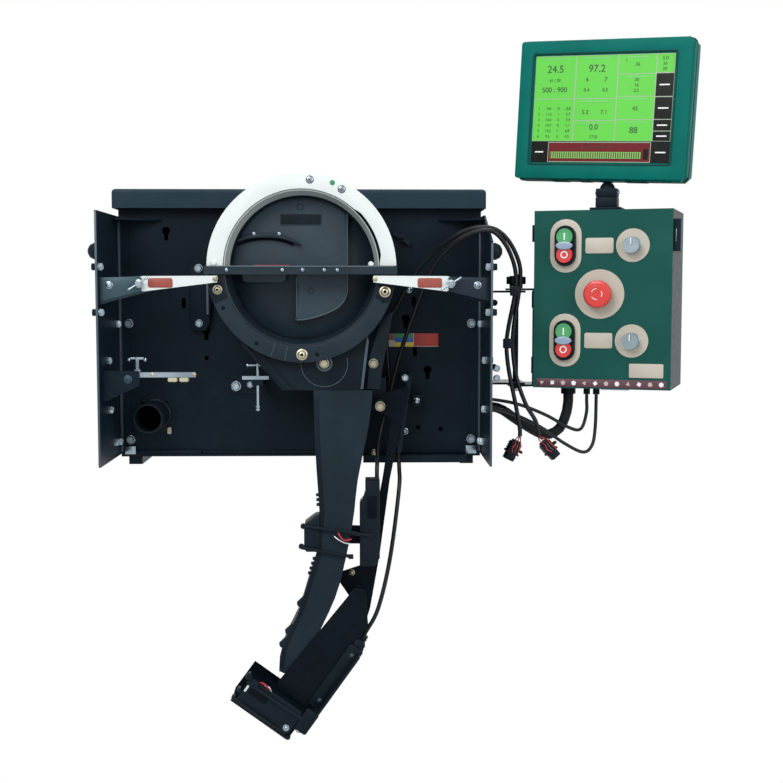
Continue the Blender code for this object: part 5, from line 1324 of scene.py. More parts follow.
class Sensors:
    """The two seed sensors with straps and wires, the guard plate's wire and the connector box."""

    def middle(self) -> None:
        """The middle sensor's two housings, straps and red wire."""
        low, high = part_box("mid_sensor")
        front = low[1]
        shell = [
            (0.0088, -0.0726), (0.0235, -0.0618), (0.031, -0.06), (0.031, -0.111), (0.012, -0.111), (0.0088, -0.106)]
        left = Maker.slab(
            "sensor_left_shell", shell, front, high[1] - 0.004, "Y", "moulded_black", edge=0.0014, segments=3)
        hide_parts("mid_sensor")
        shell = [(0.096, -0.01), (0.1168, -0.01), (0.1168, -0.12), (0.11, -0.1318), (0.088, -0.1318), (0.088, -0.044),
                 (0.096, -0.034)]
        Maker.slab("sensor_right_shell", shell, front, high[1] - 0.004, "Y", "moulded_black", edge=0.0014, segments=3)
        Maker.slab(
            "sensor_bridge", [(0.012, -0.078), (0.098, -0.082), (0.098, -0.108), (0.012, -0.106)], high[1] - 0.01,
            high[1] - 0.002, "Y", "moulded_black", edge=0.0012)
        Maker.slab(
            "sensor_left_lid",
            [(0.0115, -0.0745), (0.023, -0.0665), (0.023, -0.104), (0.019, -0.108), (0.0115, -0.108)], front - 0.0016,
            front - 0.0001, "Y", "moulded_black", edge=0.0008, segments=3)
        for i, (x, z) in enumerate(((0.0078, -0.0735), (0.005, -0.1025))):
            Maker.lathe(
                f"sensor_stud_{i}",
                [(0, 0), (0.0034, 0.0006), (0.004, 0.0022), (0.004, 0.005), (0.003, 0.0062), (0, 0.0066)],
                (x, front + 0.003, z), FORWARD, "moulded_black", sides=24)
        Maker.slab(
            "sensor_right_lid",
            [
                (0.0985, -0.0135), (0.1145, -0.0135), (0.1145, -0.12), (0.108, -0.1285), (0.0905, -0.1285),
            (0.0905, -0.04)], front - 0.0016, front - 0.0001, "Y", "moulded_black", edge=0.0008, segments=3)
        Maker.slab(
            "sensor_right_boss", Line.rounded(0.0995, 0.1125, -0.062, -0.03, 0.003), front - 0.0042, front - 0.0015,
            "Y", "guard_black", edge=0.001, segments=3)
        for i, (a, b) in enumerate((((0.01, -0.073), (0.104, -0.087)), ((0.0055, -0.104), (0.076, -0.117)))):
            y = front - 0.003
            path = [(a[0], y, a[1]), ((2 * a[0] + b[0]) / 3, y - 0.001, (2 * a[1] + b[1]) / 3),
                    ((a[0] + 2 * b[0]) / 3, y - 0.001, (a[1] + 2 * b[1]) / 3), (b[0], y, b[1])]
            Maker.wire(f"sensor_strap_{i}", path, 0.0025, "moulded_black")
            Maker.block(
                f"sensor_strap_head_{i}", (b[0] - 0.004, y - 0.0032, b[1] - 0.0032),
                (b[0] + 0.003, y + 0.002, b[1] + 0.0032), "moulded_black", edge=0.0007)
        y = front - 0.0035
        Maker.wire("sensor_red_wire", [(0.056, y, -0.08), (0.06, y - 0.003, -0.0865), (0.066, y - 0.004, -0.093),
                   (0.076, y - 0.002, -0.0915)], 0.0011, "wire_red")
        Maker.wire("sensor_clear_wire", [(0.052, y, -0.088), (0.058, y - 0.003, -0.092), (0.066, y - 0.003, -0.0965),
                   (0.074, y, -0.0985)], 0.001, "wire_clear")

    def lower(self) -> None:
        """The lower sensor's lid, strap, knob and wires."""
        low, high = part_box("lower_sensor")
        frame_2d = Slanted((low[0] + high[0]) / 2, (low[2] + high[2]) / 2, -36.2)
        front = low[1]
        Maker.slab(
            "low_lid", frame_2d.outline(0.09, 0.041, corner=0.004), front - 0.002, front - 0.0001, "Y",
            "moulded_black", edge=0.001, segments=3)
        Maker.slab(
            "low_window", frame_2d.outline(0.03, 0.014, -0.022, 0.006, 0.002), front - 0.0034, front - 0.0019, "Y",
            "guard_black", edge=0.0006)
        Maker.slab(
            "low_slot", frame_2d.outline(0.0032, 0.011, -0.042, 0.003, 0.001), front - 0.0027, front - 0.0019, "Y",
            "white_plastic", edge=0.0002)
        y = front - 0.0042
        for i, (start, end) in enumerate((((-0.047, 0.011), (0.047, 0.0125)), ((-0.0485, -0.019), (0.04, -0.0185)))):
            a, b = frame_2d.at(*start), frame_2d.at(*end)
            Maker.wire(
                f"low_strap_{i}",
                [
                    (a[0], y + 0.003, a[1]), ((a[0] * 2 + b[0]) / 3, y, (a[1] * 2 + b[1]) / 3),
                ((a[0] + b[0] * 2) / 3, y, (a[1] + b[1] * 2) / 3), (b[0], y + 0.003, b[1])], (0.003, 0.002)[i],
                "moulded_black")
        for i, (along, across, size) in enumerate(
                (
                    (-0.0485, 0.018, 0.005), (-0.0485, -0.006, 0.0034), (-0.0485, -0.02, 0.0034),
                (0.048, -0.0215, 0.0034))):
            spot = frame_2d.at(along, across)
            Maker.lathe(f"low_stud_{i}", [(0, 0), (size, 0.0006), (size, 0.01), (size * 0.8, 0.012), (0, 0.0124)],
                        (spot[0], front + 0.01, spot[1]), FORWARD, "moulded_black", sides=24)
        for i, across in enumerate((-0.0225, -0.0255)):
            a, b = frame_2d.at(-0.05, across), frame_2d.at(0.049, across)
            Maker.wire(
                f"low_rail_{i}", [(a[0], front + 0.004 * i, a[1]), (b[0], front + 0.004 * i, b[1])], 0.0013,
                "moulded_black")
        knob = frame_2d.at(-0.035, 0.014)
        Maker.lathe("low_knob", [(0, 0), (0.006, 0), (0.006, 0.003), (0.0045, 0.0048), (0, 0.0052)],
                    (knob[0], front - 0.002, knob[1]), FORWARD, "moulded_black", sides=28)
        screw = frame_2d.at(0.037, -0.011)
        Maker.bolt("low_screw", (screw[0], front - 0.002, screw[1]), FORWARD, 0.0036, "zinc_blue", hexagon=False)
        for i, finish in enumerate(("wire_red", "wire_red", "wire_clear")):
            start, middle, end = frame_2d.at(-0.031 + 0.004 * i, 0.021), frame_2d.at(-0.0255 + 0.004 * i, 0.024), \
                frame_2d.at(-0.017 + 0.003 * i, 0.02)
            Maker.wire(f"low_wire_{i}", [(start[0], front - 0.002, start[1]), (middle[0], front - 0.005, middle[1]),
                       (end[0], front - 0.002, end[1])], 0.001, finish)
        loop = [(0.0085, -0.36), (0.01, -0.366), (0.006, -0.3715), (-0.001, -0.372), (-0.005, -0.368)]
        Maker.wire("low_loop", [(x, front + 0.012, z) for x, z in loop], 0.0009, "wire_clear")

    def plug_box(self) -> None:
        """The connector box's lid, ribs and plug collar."""
        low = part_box("connector_box")[0]
        frame_2d = Slanted(0.0534, -0.293, 54.5)
        front = low[1]
        Maker.slab("plug_box_lid", frame_2d.outline(0.106, 0.0225, corner=0.002), front - 0.0086, front - 0.0001, "Y",
                   "moulded_black", edge=0.0014, segments=3)
        Maker.slab("plug_box_step", frame_2d.outline(0.09, 0.015, corner=0.002), front - 0.0098, front - 0.0085, "Y",
                   "moulded_black", edge=0.0008, segments=3)
        Maker.slab(
            "plug_box_nose", frame_2d.outline(0.012, 0.017, 0.058, 0.0, 0.003), front - 0.0066, front + 0.008, "Y",
            "moulded_black", edge=0.0016, segments=3)
        sensor_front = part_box("lower_sensor")[0][1]
        tail = frame_2d.outline(0.036, 0.02, -0.0715, 0.0, 0.002)
        Maker.slab(
            "plug_box_tail", tail, sensor_front - 0.004, sensor_front - 0.0001, "Y", "moulded_black", edge=0.001,
            segments=3)
        cradle = frame_2d.outline(0.046, 0.027, -0.05, 0.002, 0.002)
        Maker.slab("plug_box_cradle", cradle, front + 0.0004, low[1] + 0.018, "Y", "moulded_black", edge=0.001)
        ridge = frame_2d.outline(0.133, 0.0035, -0.018, -0.007, 0.001)
        Maker.slab("plug_box_ridge", ridge, sensor_front - 0.0055, front - 0.0085, "Y", "moulded_black", edge=0.0008)
        for i in range(4):
            spot = frame_2d.at(0.055 + 0.0032 * i, 0)
            axis = frame_2d.at(0.056 + 0.0032 * i, 0)
            direction = (axis[0] - spot[0], 0, axis[1] - spot[1])
            Maker.lathe(
                f"plug_rib_{i}", [(0.0069, 0), (0.0078, 0.0004), (0.0078, 0.0014), (0.0069, 0.0018), (0.0069, 0)],
                (spot[0], -0.101, spot[1]), direction, "moulded_black", sides=28)
        for i, along in enumerate((-0.04, 0.04)):
            spot = frame_2d.at(along, 0)
            Maker.bolt(
                f"plug_box_screw_{i}", (spot[0], front - 0.0098, spot[1]), FORWARD, 0.0024, "grey_trim_and_painted_highlight",
                hexagon=False)

    def build(self) -> None:
        """Builds the sensors' and guard's details."""
        self.middle()
        self.lower()
        self.plug_box()
        for name, finish in (("lower_sensor", "sensor_black"), ("connector_box", "moulded_black")):
            node = frame["nodes"][name]
            node.data.materials.clear()
            node.data.materials.append(Shade.get(finish))
            bevel = node.modifiers.new("edge", "BEVEL")
            bevel.width, bevel.segments, bevel.limit_method = 0.0012, 3, "ANGLE"
            bevel.angle_limit = math.radians(40)


# ---- support, control box and monitor ----


class Support:
    """The swing support's pins, bolts and cable clips."""

    def build(self) -> None:
        """Builds the support's details."""
        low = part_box("support_bracket")[0]
        star = JOINTS["star_knob_turn"]["pos_m"]
        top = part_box("star_knob")[1][2]
        Maker.lathe(
            "star_stud", [(0, 0), (0.0036, 0), (0.0036, 0.002), (0.0026, 0.003), (0, 0.0032)],
            (star[0], star[1], top - 0.0004), UP, "zinc_blue", body=Body.STAR_KNOB, sides=24)
        Maker.lathe("star_base", [(0.0045, 0), (0.0095, 0), (0.0095, 0.0016), (0.0045, 0.0016), (0.0045, 0)],
                    (star[0], star[1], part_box("star_knob")[0][2] + 0.0001), UP, "zinc_blue", body=Body.STAR_KNOB)
        for i, z in enumerate((0.148, 0.134)):
            Maker.bolt(f"support_bolt_{i}", (low[0] + 0.014, low[1], z), FORWARD, 0.0046, "zinc_blue")
        for i, z in enumerate((0.243, 0.15)):
            Maker.bolt(f"support_side_bolt_{i}", (0.283, low[1], z), FORWARD, 0.0036, "cabinet_black", hexagon=False)
        Maker.lathe("swing_pin_foot", [(0, 0), (0.006, 0), (0.006, 0.003), (0.004, 0.0046), (0, 0.005)],
                    (star[0], star[1], low[2] - 0.0001), DOWN, "zinc_blue")
        for i, (x, y, z) in enumerate(((0.309, -0.0965, 0.26), (0.3005, -0.0875, 0.185))):
            Maker.block(f"cable_clip_{i}", (x - 0.0065, y - 0.0045, z - 0.007), (x + 0.0065, y + 0.0045, z + 0.007),
                        "moulded_black", edge=0.0016)


class ControlBox:
    """The green door's surrounds, controls, labels and hinge, and the box's own trim."""

    rows: dict[str, float] = {"meter": 0.2035, "air": 0.069}
    face: float = -0.0033

    def __init__(self) -> None:
        self.door = dict(body=Body.DOOR, where=CONTROL.matrix)

    def panel(
            self, name: str, outline: list[Point2], rise: float, finish: str, base: float = 0.0, edge: float = 0.0002,
            hole: Optional[list[Point2]] = None) -> bpy.types.Object:
        """A raised plate on the door's face from an outline in (u, w)."""
        front = self.face - base - rise
        return Maker.slab(
            name, outline, front, self.face - base - 0.0001, "Y", finish, edge=edge, hole=hole, **self.door)

    def disc(
            self, name: str, u: float, w: float, profile: list[Point2], finish: str, base: float = 0.0,
            sides: int = 48, body: Optional[Body] = None) -> bpy.types.Object:
        """A turned piece standing on the door at (u, w)."""
        return Maker.lathe(name, profile, (u, self.face - 0.0001 - base, w), FORWARD, finish, sides=sides,
                           body=body or Body.DOOR, where=CONTROL.matrix)

    def controls(self) -> None:
        """Label plates, bezels, start and stop caps and the knobs of both rows."""
        for row, w in self.rows.items():
            self.panel(
                f"{row}_surround", Line.rounded(0.0235, 0.0685, w - 0.038, w + 0.038, 0.0215), 0.0006, "beige_label")
            self.panel(f"{row}_label", Line.rounded(0.074, 0.114, w - 0.011, w + 0.011, 0.003), 0.0006, "beige_label")
            ring = [(0.012, 0), (0.0235, 0), (0.0235, 0.0006), (0.012, 0.0006), (0.012, 0)]
            self.disc(f"{row}_dial", 0.141, w, ring, "beige_label")
            self.buttons(row, w)
            self.knob(row, w)

    def buttons(self, row: str, w: float) -> None:
        """The bezel's frame, the pilot lens and the two caps with their symbols."""
        bezel = frame["nodes"][f"{row}_button_bezel"]
        bezel.data.materials.clear()
        bezel.data.materials.append(Shade.get("moulded_black"))
        bevel = bezel.modifiers.new("edge", "BEVEL")
        bevel.width, bevel.segments, bevel.limit_method = 0.0006, 2, "ANGLE"
        front = -0.0036 - 0.008
        stalk = Line.rounded(0.0385, 0.0535, w - 0.0026, w + 0.0026, 0.0012)
        Maker.slab(
            f"{row}_lens_foot", stalk, front - 0.0044, front - 0.0001, "Y", "moulded_black", edge=0.0003, **self.door)
        turns = [2 * math.pi * i / 40 for i in range(40)]
        lens = [(0.046 + 0.0122 * math.cos(t), w + 0.0058 * math.sin(t)) for t in turns]
        Maker.slab(
            f"{row}_lens", lens, front - 0.0072, front - 0.0045, "Y", "pilot_lens", edge=0.0018, segments=4,
            **self.door)
        for kind, finish, body in (("start", "start_green", Body[f"{row.upper()}_START"]),
                                   ("stop", "stop_red", Body[f"{row.upper()}_STOP"])):
            node = f"{row}_{kind}_button"
            low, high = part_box(node)
            centre = CONTROL.matrix.inverted() @ ((Vector(low) + Vector(high)) / 2)
            cap_front = -0.0156
            ring = [(0.0095, 0), (0.0112, 0), (0.0112, 0.0007), (0.0095, 0.0007), (0.0095, 0)]
            Maker.lathe(f"{node}_rim", ring, (centre.x, cap_front - 0.0001, centre.z), FORWARD, finish, body=body,
                        where=CONTROL.matrix, sides=40)
            if kind == "start":
                mark = Line.rounded(centre.x - 0.001, centre.x + 0.001, centre.z - 0.0052, centre.z + 0.0052, 0.0003)
                Maker.slab(
                    f"{node}_mark", mark, cap_front - 0.0005, cap_front - 0.0001, "Y", "symbol_white", edge=0.0,
                    body=body, where=CONTROL.matrix)
            else:
                loop = [(0.0036, 0), (0.0052, 0), (0.0052, 0.0004), (0.0036, 0.0004), (0.0036, 0)]
                Maker.lathe(f"{node}_mark", loop, (centre.x, cap_front - 0.0001, centre.z), FORWARD, "symbol_white",
                            body=body, where=CONTROL.matrix, sides=36)

    def knob(self, row: str, w: float) -> None:
        """The knob's collar, knurling and pointer."""
        body = Body[f"{row.upper()}_KNOB"]
        front = -0.0036 - 0.003 - 0.018
        self.disc(
            f"{row}_collar", 0.141, w,
            [(0.004, 0), (0.0118, 0), (0.0118, 0.0012), (0.01, 0.0022), (0.004, 0.0022), (0.004, 0)], "knob_metal")
        for i in range(28):
            turn = 2 * math.pi * i / 28
            c, s = math.cos(turn), math.sin(turn)
            outline = [
                (0.141 + 0.0111 * c - 0.0004 * s, w + 0.0111 * s + 0.0004 * c),
                (0.141 + 0.0111 * c + 0.0004 * s, w + 0.0111 * s - 0.0004 * c),
                (0.141 + 0.0118 * c + 0.0002 * s, w + 0.0118 * s - 0.0002 * c),
                (0.141 + 0.0118 * c - 0.0002 * s, w + 0.0118 * s + 0.0002 * c)]
            Maker.slab(
                f"{row}_knurl_{i}", outline, front + 0.002, front + 0.0135, "Y", "knob_metal", edge=0.0, body=body,
                where=CONTROL.matrix)
        pointer = Line.rounded(0.1403, 0.1417, w + 0.0012, w + 0.0098, 0.0003)
        Maker.slab(
            f"{row}_pointer", pointer, front - 0.0004, front + 0.0002, "Y", "symbol_white", edge=0.0, body=body,
            where=CONTROL.matrix)

    def stop(self) -> None:
        """The emergency stop's disc, collar and dished mushroom."""
        u, w = 0.095, 0.135
        self.disc(
            "stop_disc", u, w, [(0.015, 0), (0.035, 0), (0.035, 0.0006), (0.015, 0.0006), (0.015, 0)], "beige_label",
            sides=72)
        self.disc(
            "stop_collar", u, w,
            [(0.0105, 0), (0.015, 0), (0.015, 0.0034), (0.0138, 0.0048), (0.0105, 0.0048), (0.0105, 0)],
            "moulded_black", base=0.0006)
        cap = [
            (0, 0.0), (0.0186, 0.0), (0.0196, 0.0012), (0.0196, 0.004), (0.0182, 0.009), (0.015, 0.0128),
            (0.012, 0.0139), (0.01, 0.0136), (0.005, 0.0131), (0, 0.013)]
        Maker.lathe("stop_cap", [(0.01, 0.0008), *cap[1:]], (u, -0.0156, w), FORWARD, "stop_red", body=Body.E_STOP,
                    where=CONTROL.matrix, sides=64)
        for i in range(3):
            turn = math.radians(90 + 120 * i)
            path = []
            for k in range(9):
                a = turn + math.radians(k * 8)
                path.append((u + 0.0078 * math.cos(a), -0.0297, w + 0.0078 * math.sin(a)))
            Maker.wire(f"stop_arrow_{i}", path, 0.00055, "symbol_white", body=Body.E_STOP, where=CONTROL.matrix)

    def plates(self) -> None:
        """The blank plate, the maroon strip with plain motifs, and the hinge."""
        self.panel("blank_plate_door", Line.rounded(0.138, 0.186, 0.017, 0.037, 0.0015), 0.0006, "beige_label")
        self.panel("strip", Line.rounded(0.005, 0.191, 0.002, 0.0135, 0.0008), 0.0006, "strip_maroon")
        for i in range(12):
            u = 0.013 + i * 0.0155
            shape = Line.arc(u, 0.0078, 0.0036, 20 + 30 * (i % 3), 380 + 30 * (i % 3), 3 + i % 4)[:-1]
            self.panel(
                f"strip_motif_{i}", shape, 0.0003, "symbol_white" if i % 2 else "beige_label", base=0.0007, edge=0.0)
        hinge = [(0.0026, 0), (0.0034, 0.0003), (0.0034, 0.024), (0.0026, 0.0243), (0, 0.0243)]
        for i, w in enumerate((0.02, 0.115, 0.21)):
            Maker.lathe(
                f"hinge_{i}", [(0, 0), *hinge], (-0.0012, 0.004, w), UP, "cabinet_black", where=CONTROL.matrix,
                sides=24)

    def sides(self) -> None:
        """The box's side latch plate and tongue, glands, underside strip, top screws and vents."""
        Maker.block("latch_plate", (0.1961, 0.01, 0.199), (0.1968, 0.042, 0.236), "zinc_blue", where=CONTROL.matrix)
        Maker.block("latch_tongue", (0.199, 0.002, 0.208), (0.2004, 0.018, 0.226), "zinc_blue", body=Body.DOOR_LATCH,
                    where=CONTROL.matrix)
        for i, (u, radius) in enumerate(zip(Cords.glands, (0.011, 0.005, 0.005))):
            profile = [(radius * 0.8, 0), (radius * 1.18, 0), (radius * 1.18, 0.0035),
                       (radius * 1.02, 0.0042), (radius * 0.8, 0.0042), (radius * 0.8, 0)]
            Maker.lathe(
                f"gland_nut_{i}", profile, (u, Cords.gland_v, -0.0001), DOWN, "moulded_black", where=CONTROL.matrix,
                sides=6)
        Maker.block("under_strip", (0.093, 0.03, -0.004), (0.133, 0.042, -0.0001), "zinc_blue", where=CONTROL.matrix)
        for i, (u, v) in enumerate(((0.012, 0.112), (0.184, 0.112), (0.012, 0.018), (0.184, 0.018))):
            Maker.lathe(
                f"box_screw_{i}", [(0, 0), (0.0032, 0), (0.003, 0.0008), (0, 0.0012)], (u, v, 0.2541), UP,
                "zinc_blue", where=CONTROL.matrix, sides=20)
        for i in range(6):
            Maker.block(
                f"vent_{i}", (0.06 + i * 0.012, 0.1301, 0.17), (0.064 + i * 0.012, 0.1306, 0.22), "guard_black",
                where=CONTROL.matrix)

    def build(self) -> None:
        """Builds the control box's looks."""
        self.controls()
        self.stop()
        self.plates()
        self.sides()


class Monitor:
    """The teal monitor's bezel, screen cells, sockets and post trim."""

    def __init__(self) -> None:
        low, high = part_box("monitor_housing")
        self.x = Vector(JOINTS["monitor_tilt"]["axis"]).normalized()
        self.y = Vector((-self.x.y, self.x.x, 0)).normalized()
        self.z = self.x.cross(self.y).normalized()
        centre = (Vector(low) + Vector(high)) / 2 - self.y * 0.0225
        self.matrix = Matrix.Identity(4)
        for column, axis in enumerate((self.x, self.y, self.z, centre)):
            for row in range(3):
                self.matrix[row][column] = axis[row]
        self.on = dict(body=Body.MONITOR, where=self.matrix)
        self.left, self.right, self.low, self.high = -0.101, 0.101, -0.074, 0.076

    def tile(self, name: str, x0: float, x1: float, z0: float, z1: float, finish: str, depth: float = 0.0) -> None:
        """A flat piece of the screen from its edges, as shares of the screen's width and height."""
        w, h = self.right - self.left, self.high - self.low
        outline = Line.rounded(self.left + x0 * w, self.left + x1 * w, self.low + z0 * h, self.low + z1 * h, 0.0004)
        Maker.slab(name, outline, -0.0002 - depth, 0.0006 - depth * 0.5, "Y", finish, edge=0.0, **self.on)

    def bezel(self) -> None:
        """The case's front frame and lip, seam, screws and vents, the post with its sleeve screws, and the sockets.
        """
        outer = Line.rounded(-0.1235, 0.1235, -0.097, 0.097, 0.0045)
        inner = Line.rounded(self.left - 0.002, self.right + 0.002, self.low - 0.002, self.high + 0.002, 0.003)
        Maker.slab("bezel", outer, -0.003, 0.001, "Y", "teal_case", edge=0.0012, segments=3, hole=inner, **self.on)
        lip = Line.rounded(self.left - 0.004, self.right + 0.004, self.low - 0.004, self.high + 0.004, 0.0045)
        Maker.slab("bezel_lip", lip, -0.0036, -0.0028, "Y", "teal_dark", edge=0.0003, hole=inner, **self.on)
        seam = Line.rounded(-0.1262, 0.1262, -0.0997, 0.0997, 0.01)
        hole = Line.rounded(-0.124, 0.124, -0.0975, 0.0975, 0.009)
        Maker.slab("case_seam", seam, 0.018, 0.0196, "Y", "teal_dark", edge=0.0002, hole=hole, **self.on)
        for i, (x, z) in enumerate(((-0.112, -0.086), (0.112, -0.086), (-0.112, 0.086), (0.112, 0.086))):
            Maker.lathe(
                f"case_screw_{i}", [(0, 0), (0.003, 0), (0.003, 0.0006), (0, 0.0009)], (x, 0.0449, z), (0, 1, 0),
                "knob_metal", sides=20, **self.on)
        for i in range(9):
            x = -0.064 + i * 0.016
            Maker.slab(
                f"case_vent_{i}", Line.rounded(x - 0.0022, x + 0.0022, -0.045, 0.03, 0.002), 0.0449, 0.0456, "Y",
                "teal_dark", edge=0.0, **self.on)
        ball = JOINTS["monitor_tilt"]["pos_m"]
        middle = CONTROL.matrix.inverted() @ Vector(ball)
        low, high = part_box("monitor_post")
        for name, u, v, z0, z1, body in (
                ("foot", 0.0225, 0.018, low[2], low[2] + 0.0035, Body.STAND),
                ("upright", 0.0152, 0.0115, low[2] + 0.0034, high[2], Body.STAND),
                ("sleeve", 0.015, 0.0112, high[2] + GAP, ball[2] + 0.001, Body.MONITOR_SWIVEL)):
            outline = [
                (middle.x - u, middle.y - v), (middle.x + u, middle.y - v), (middle.x + u, middle.y + v),
                (middle.x - u, middle.y + v)]
            piece = Maker.slab(
                f"post_{name}", outline, z0 - CONTROL.corner.z, z1 - CONTROL.corner.z, "Z", "cabinet_black",
                body=body, where=CONTROL.matrix, edge=0.0012)
            if name == "upright":
                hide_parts("monitor_post")
        for i, side in enumerate((-1, 1)):
            spot = CONTROL.at(middle.x + side * 0.015, middle.y, ball[2] - 0.0045 - CONTROL.corner.z)
            Maker.bolt(
                f"sleeve_screw_{i}", spot, CONTROL.u * side, 0.003, "zinc_blue", body=Body.MONITOR_SWIVEL,
                hexagon=False)
        for i, (x, width) in enumerate(((-0.06, 0.024), (-0.022, 0.016), (0.008, 0.016), (0.052, 0.03))):
            Maker.block(
                f"case_socket_{i}", (x - width / 2, 0.012, -0.1002), (x + width / 2, 0.029, -0.0989), "guard_black",
                edge=0.0003, **self.on)

    cells: tuple[tuple[float, float, float, float], ...] = (
        (0.004, 0.296, 0.602, 0.994), (0.304, 0.6, 0.602, 0.994), (0.304, 0.6, 0.398, 0.594),
        (0.304, 0.6, 0.204, 0.39), (0.608, 0.868, 0.822, 0.994), (0.608, 0.868, 0.618, 0.814),
        (0.608, 0.868, 0.404, 0.61), (0.608, 0.868, 0.204, 0.396), (0.004, 0.296, 0.204, 0.594),
        (0.876, 0.996, 0.83, 0.994))
    numbers: tuple[tuple[str, float, float, float], ...] = (
        ("24.5", 0.15, 0.872, 0.0145), ("61 : 30", 0.15, 0.77, 0.0058), ("500 : 900", 0.15, 0.68, 0.01),
        ("97.2", 0.452, 0.872, 0.0145), ("4", 0.385, 0.77, 0.0085), ("7", 0.52, 0.77, 0.0085),
        ("0.4", 0.385, 0.675, 0.0068), ("0.5", 0.52, 0.675, 0.0068), ("5.2", 0.385, 0.47, 0.0082),
        ("7.1", 0.52, 0.47, 0.0082), ("0.0", 0.452, 0.33, 0.0108), ("17.0", 0.452, 0.24, 0.0068),
        ("1", 0.66, 0.945, 0.0068), ("36", 0.74, 0.905, 0.0068), ("30", 0.74, 0.765, 0.0062),
        ("16", 0.74, 0.715, 0.0062), ("2.5", 0.74, 0.665, 0.0062), ("45", 0.74, 0.5, 0.008),
        ("88", 0.738, 0.3, 0.012), ("5.0", 0.93, 0.955, 0.0068), ("30", 0.93, 0.905, 0.006),
        ("20", 0.93, 0.86, 0.006))

    def screen(self) -> None:
        """The lit screen: green cells with plain numbers, black keys and the dark red bar."""
        self.tile("screen_back", 0, 1, 0, 1, "screen_black")
        self.tile("screen_lines", 0.001, 0.999, 0.2, 0.999, "screen_line", 0.0001)
        for i, (x0, x1, z0, z1) in enumerate(self.cells):
            self.tile(f"cell_{i}", x0, x1, z0, z1, "screen_green", 0.0003)
            if i not in (8, 9):
                self.tile(f"cell_head_{i}", x0 + 0.05, x1 - 0.05, z1 - 0.03, z1 - 0.014, "screen_mark", 0.0005)
        for i, (text, across, up, size) in enumerate(self.numbers):
            self.text(f"screen_number_{i}", text, across, up, size)
        for row in range(6):
            up = 0.505 - row * 0.052
            for column, text in enumerate(
                    (
                        str(row + 1), f"{9 + row * 7 % 5}.{row * 3 % 10}", str(row % 3),
                    f"{row * 5 % 7}.{row * 7 % 10}")):
                self.text(f"screen_log_{row}_{column}", text, 0.045 + column * 0.072, up, 0.0052)
        keys = ((0.612, 0.818), (0.404, 0.602), (0.298, 0.396), (0.204, 0.29), (0.006, 0.19))
        for i, (z0, z1) in enumerate(keys):
            self.tile(f"key_{i}", 0.876, 0.996, z0, z1, "screen_black", 0.0004)
            self.tile(
                f"key_mark_{i}", 0.9, 0.972, (z0 + z1) / 2 - 0.006, (z0 + z1) / 2 + 0.006, "symbol_white", 0.0006)
        self.tile("low_key", 0.004, 0.118, 0.006, 0.19, "screen_black", 0.0004)
        self.tile("low_key_mark", 0.03, 0.092, 0.092, 0.104, "symbol_white", 0.0006)
        self.tile("bar_rim", 0.126, 0.868, 0.004, 0.192, "screen_line", 0.0003)
        self.tile("red_bar", 0.13, 0.864, 0.01, 0.186, "screen_red", 0.0004)
        self.tile("bar_track", 0.145, 0.8, 0.04, 0.1, "screen_mark", 0.0005)
        for i in range(40):
            x = 0.147 + i * 0.0163
            self.tile(f"hatch_{i}", x, x + 0.0075, 0.044, 0.096, "screen_red", 0.0006)
        self.text("bar_number", "0  20  40  60  80  100", 0.48, 0.145, 0.005)
        self.tile("bar_marker", 0.818, 0.852, 0.03, 0.13, "screen_black", 0.0006)

    def text(self, name: str, text: str, across: float, up: float, size: float) -> None:
        """A plain number on the screen."""
        w, h = self.right - self.left, self.high - self.low
        where = self.matrix @ Matrix.Translation((self.left + across * w, -0.0008, self.low + up * h))
        Maker.words(name, text, size, where @ Matrix.Rotation(math.pi / 2, 4, "X"), "screen_ink", Body.MONITOR)

    def build(self) -> None:
        """Builds the monitor's looks."""
        self.bezel()
        self.screen()


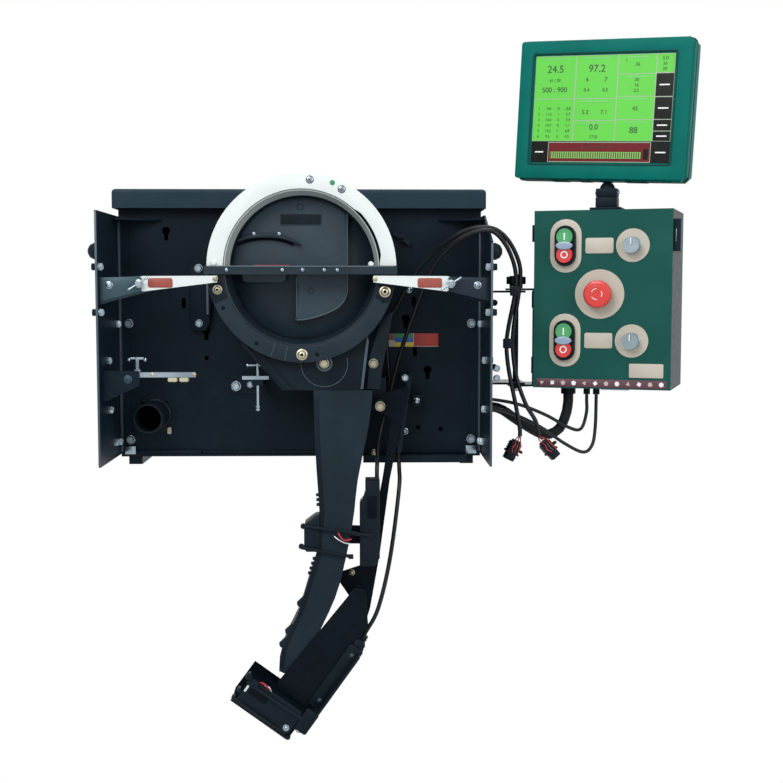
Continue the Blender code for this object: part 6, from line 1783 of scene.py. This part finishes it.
class Studio:
    """Plain white surroundings and soft lamps.

    Attributes:
        sky: Colour that the world lights the object with.
        sky_strength: How strongly it does so.
        lamps: Each lamp's name, place, side in metres and power in watts.
        aim: The point that every lamp faces.
    """

    sky: tuple[float, ...] = (0.9, 0.95, 1.0, 1)
    sky_strength: float = 0.55
    lamps: tuple[tuple[str, Point3, float, float], ...] = (
        ("key", (-0.9, -2.2, 1.6), 1.2, 34), ("fill", (1.6, -1.8, 0.9), 1.4, 18),
        ("top", (0.1, -0.2, 2.2), 1.5, 16), ("back", (0.1, 2.2, 1.2), 1.4, 12))
    aim: Point3 = (0.1, 0.0, 0.2)

    def build(self) -> None:
        """Sets the world, the lamps and the view."""
        scene = bpy.context.scene
        scene.view_settings.view_transform = "Standard"
        world = bpy.data.worlds.new("white")
        scene.world = world
        world.use_nodes = True
        nodes, links = world.node_tree.nodes, world.node_tree.links
        nodes.clear()
        path = nodes.new("ShaderNodeLightPath")
        seen = path.outputs["Is Camera Ray"]
        for ray in ("Is Transmission Ray", "Is Glossy Ray"):
            both = nodes.new("ShaderNodeMath")
            both.operation = "MAXIMUM"
            links.new(seen, both.inputs[0])
            links.new(path.outputs[ray], both.inputs[1])
            seen = both.outputs["Value"]
        plain, bright, mix, out = (
            nodes.new(kind) for kind in (
            "ShaderNodeBackground", "ShaderNodeBackground", "ShaderNodeMixShader", "ShaderNodeOutputWorld"))
        plain.inputs["Color"].default_value = self.sky
        plain.inputs["Strength"].default_value = self.sky_strength
        bright.inputs["Color"].default_value = (1, 1, 1, 1)
        bright.inputs["Strength"].default_value = 1.0
        links.new(seen, mix.inputs[0])
        links.new(plain.outputs[0], mix.inputs[1])
        links.new(bright.outputs[0], mix.inputs[2])
        links.new(mix.outputs[0], out.inputs["Surface"])
        for lamp in self.lamps:
            self.lamp(*lamp)

    def lamp(self, name: str, place: Point3, size: float, power: float) -> None:
        """A square area lamp that faces the middle of the object."""
        data = bpy.data.lights.new(name, "AREA")
        data.size = size
        data.energy = power
        obj = bpy.data.objects.new(name, data)
        bpy.context.scene.collection.objects.link(obj)
        obj.location = place
        way = Vector(self.aim) - Vector(place)
        obj.rotation_euler = way.to_track_quat("-Z", "Y").to_euler()


def main() -> None:
    """Builds the camera and cords first, then every sub-assembly."""
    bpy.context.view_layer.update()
    bpy.ops.object.select_all(action="DESELECT")
    Viewpoint().build()
    Cords().build()
    Studio().build()
    for group in (
            Cabinet(), Meter(), Arms(), Clamp(), Latches(), SeedTube(), Sensors(), Support(), ControlBox(),
            Monitor()):
        group.build()
        LOG.info("built %s", type(group).__name__)


if __name__ == "__main__":
    main()
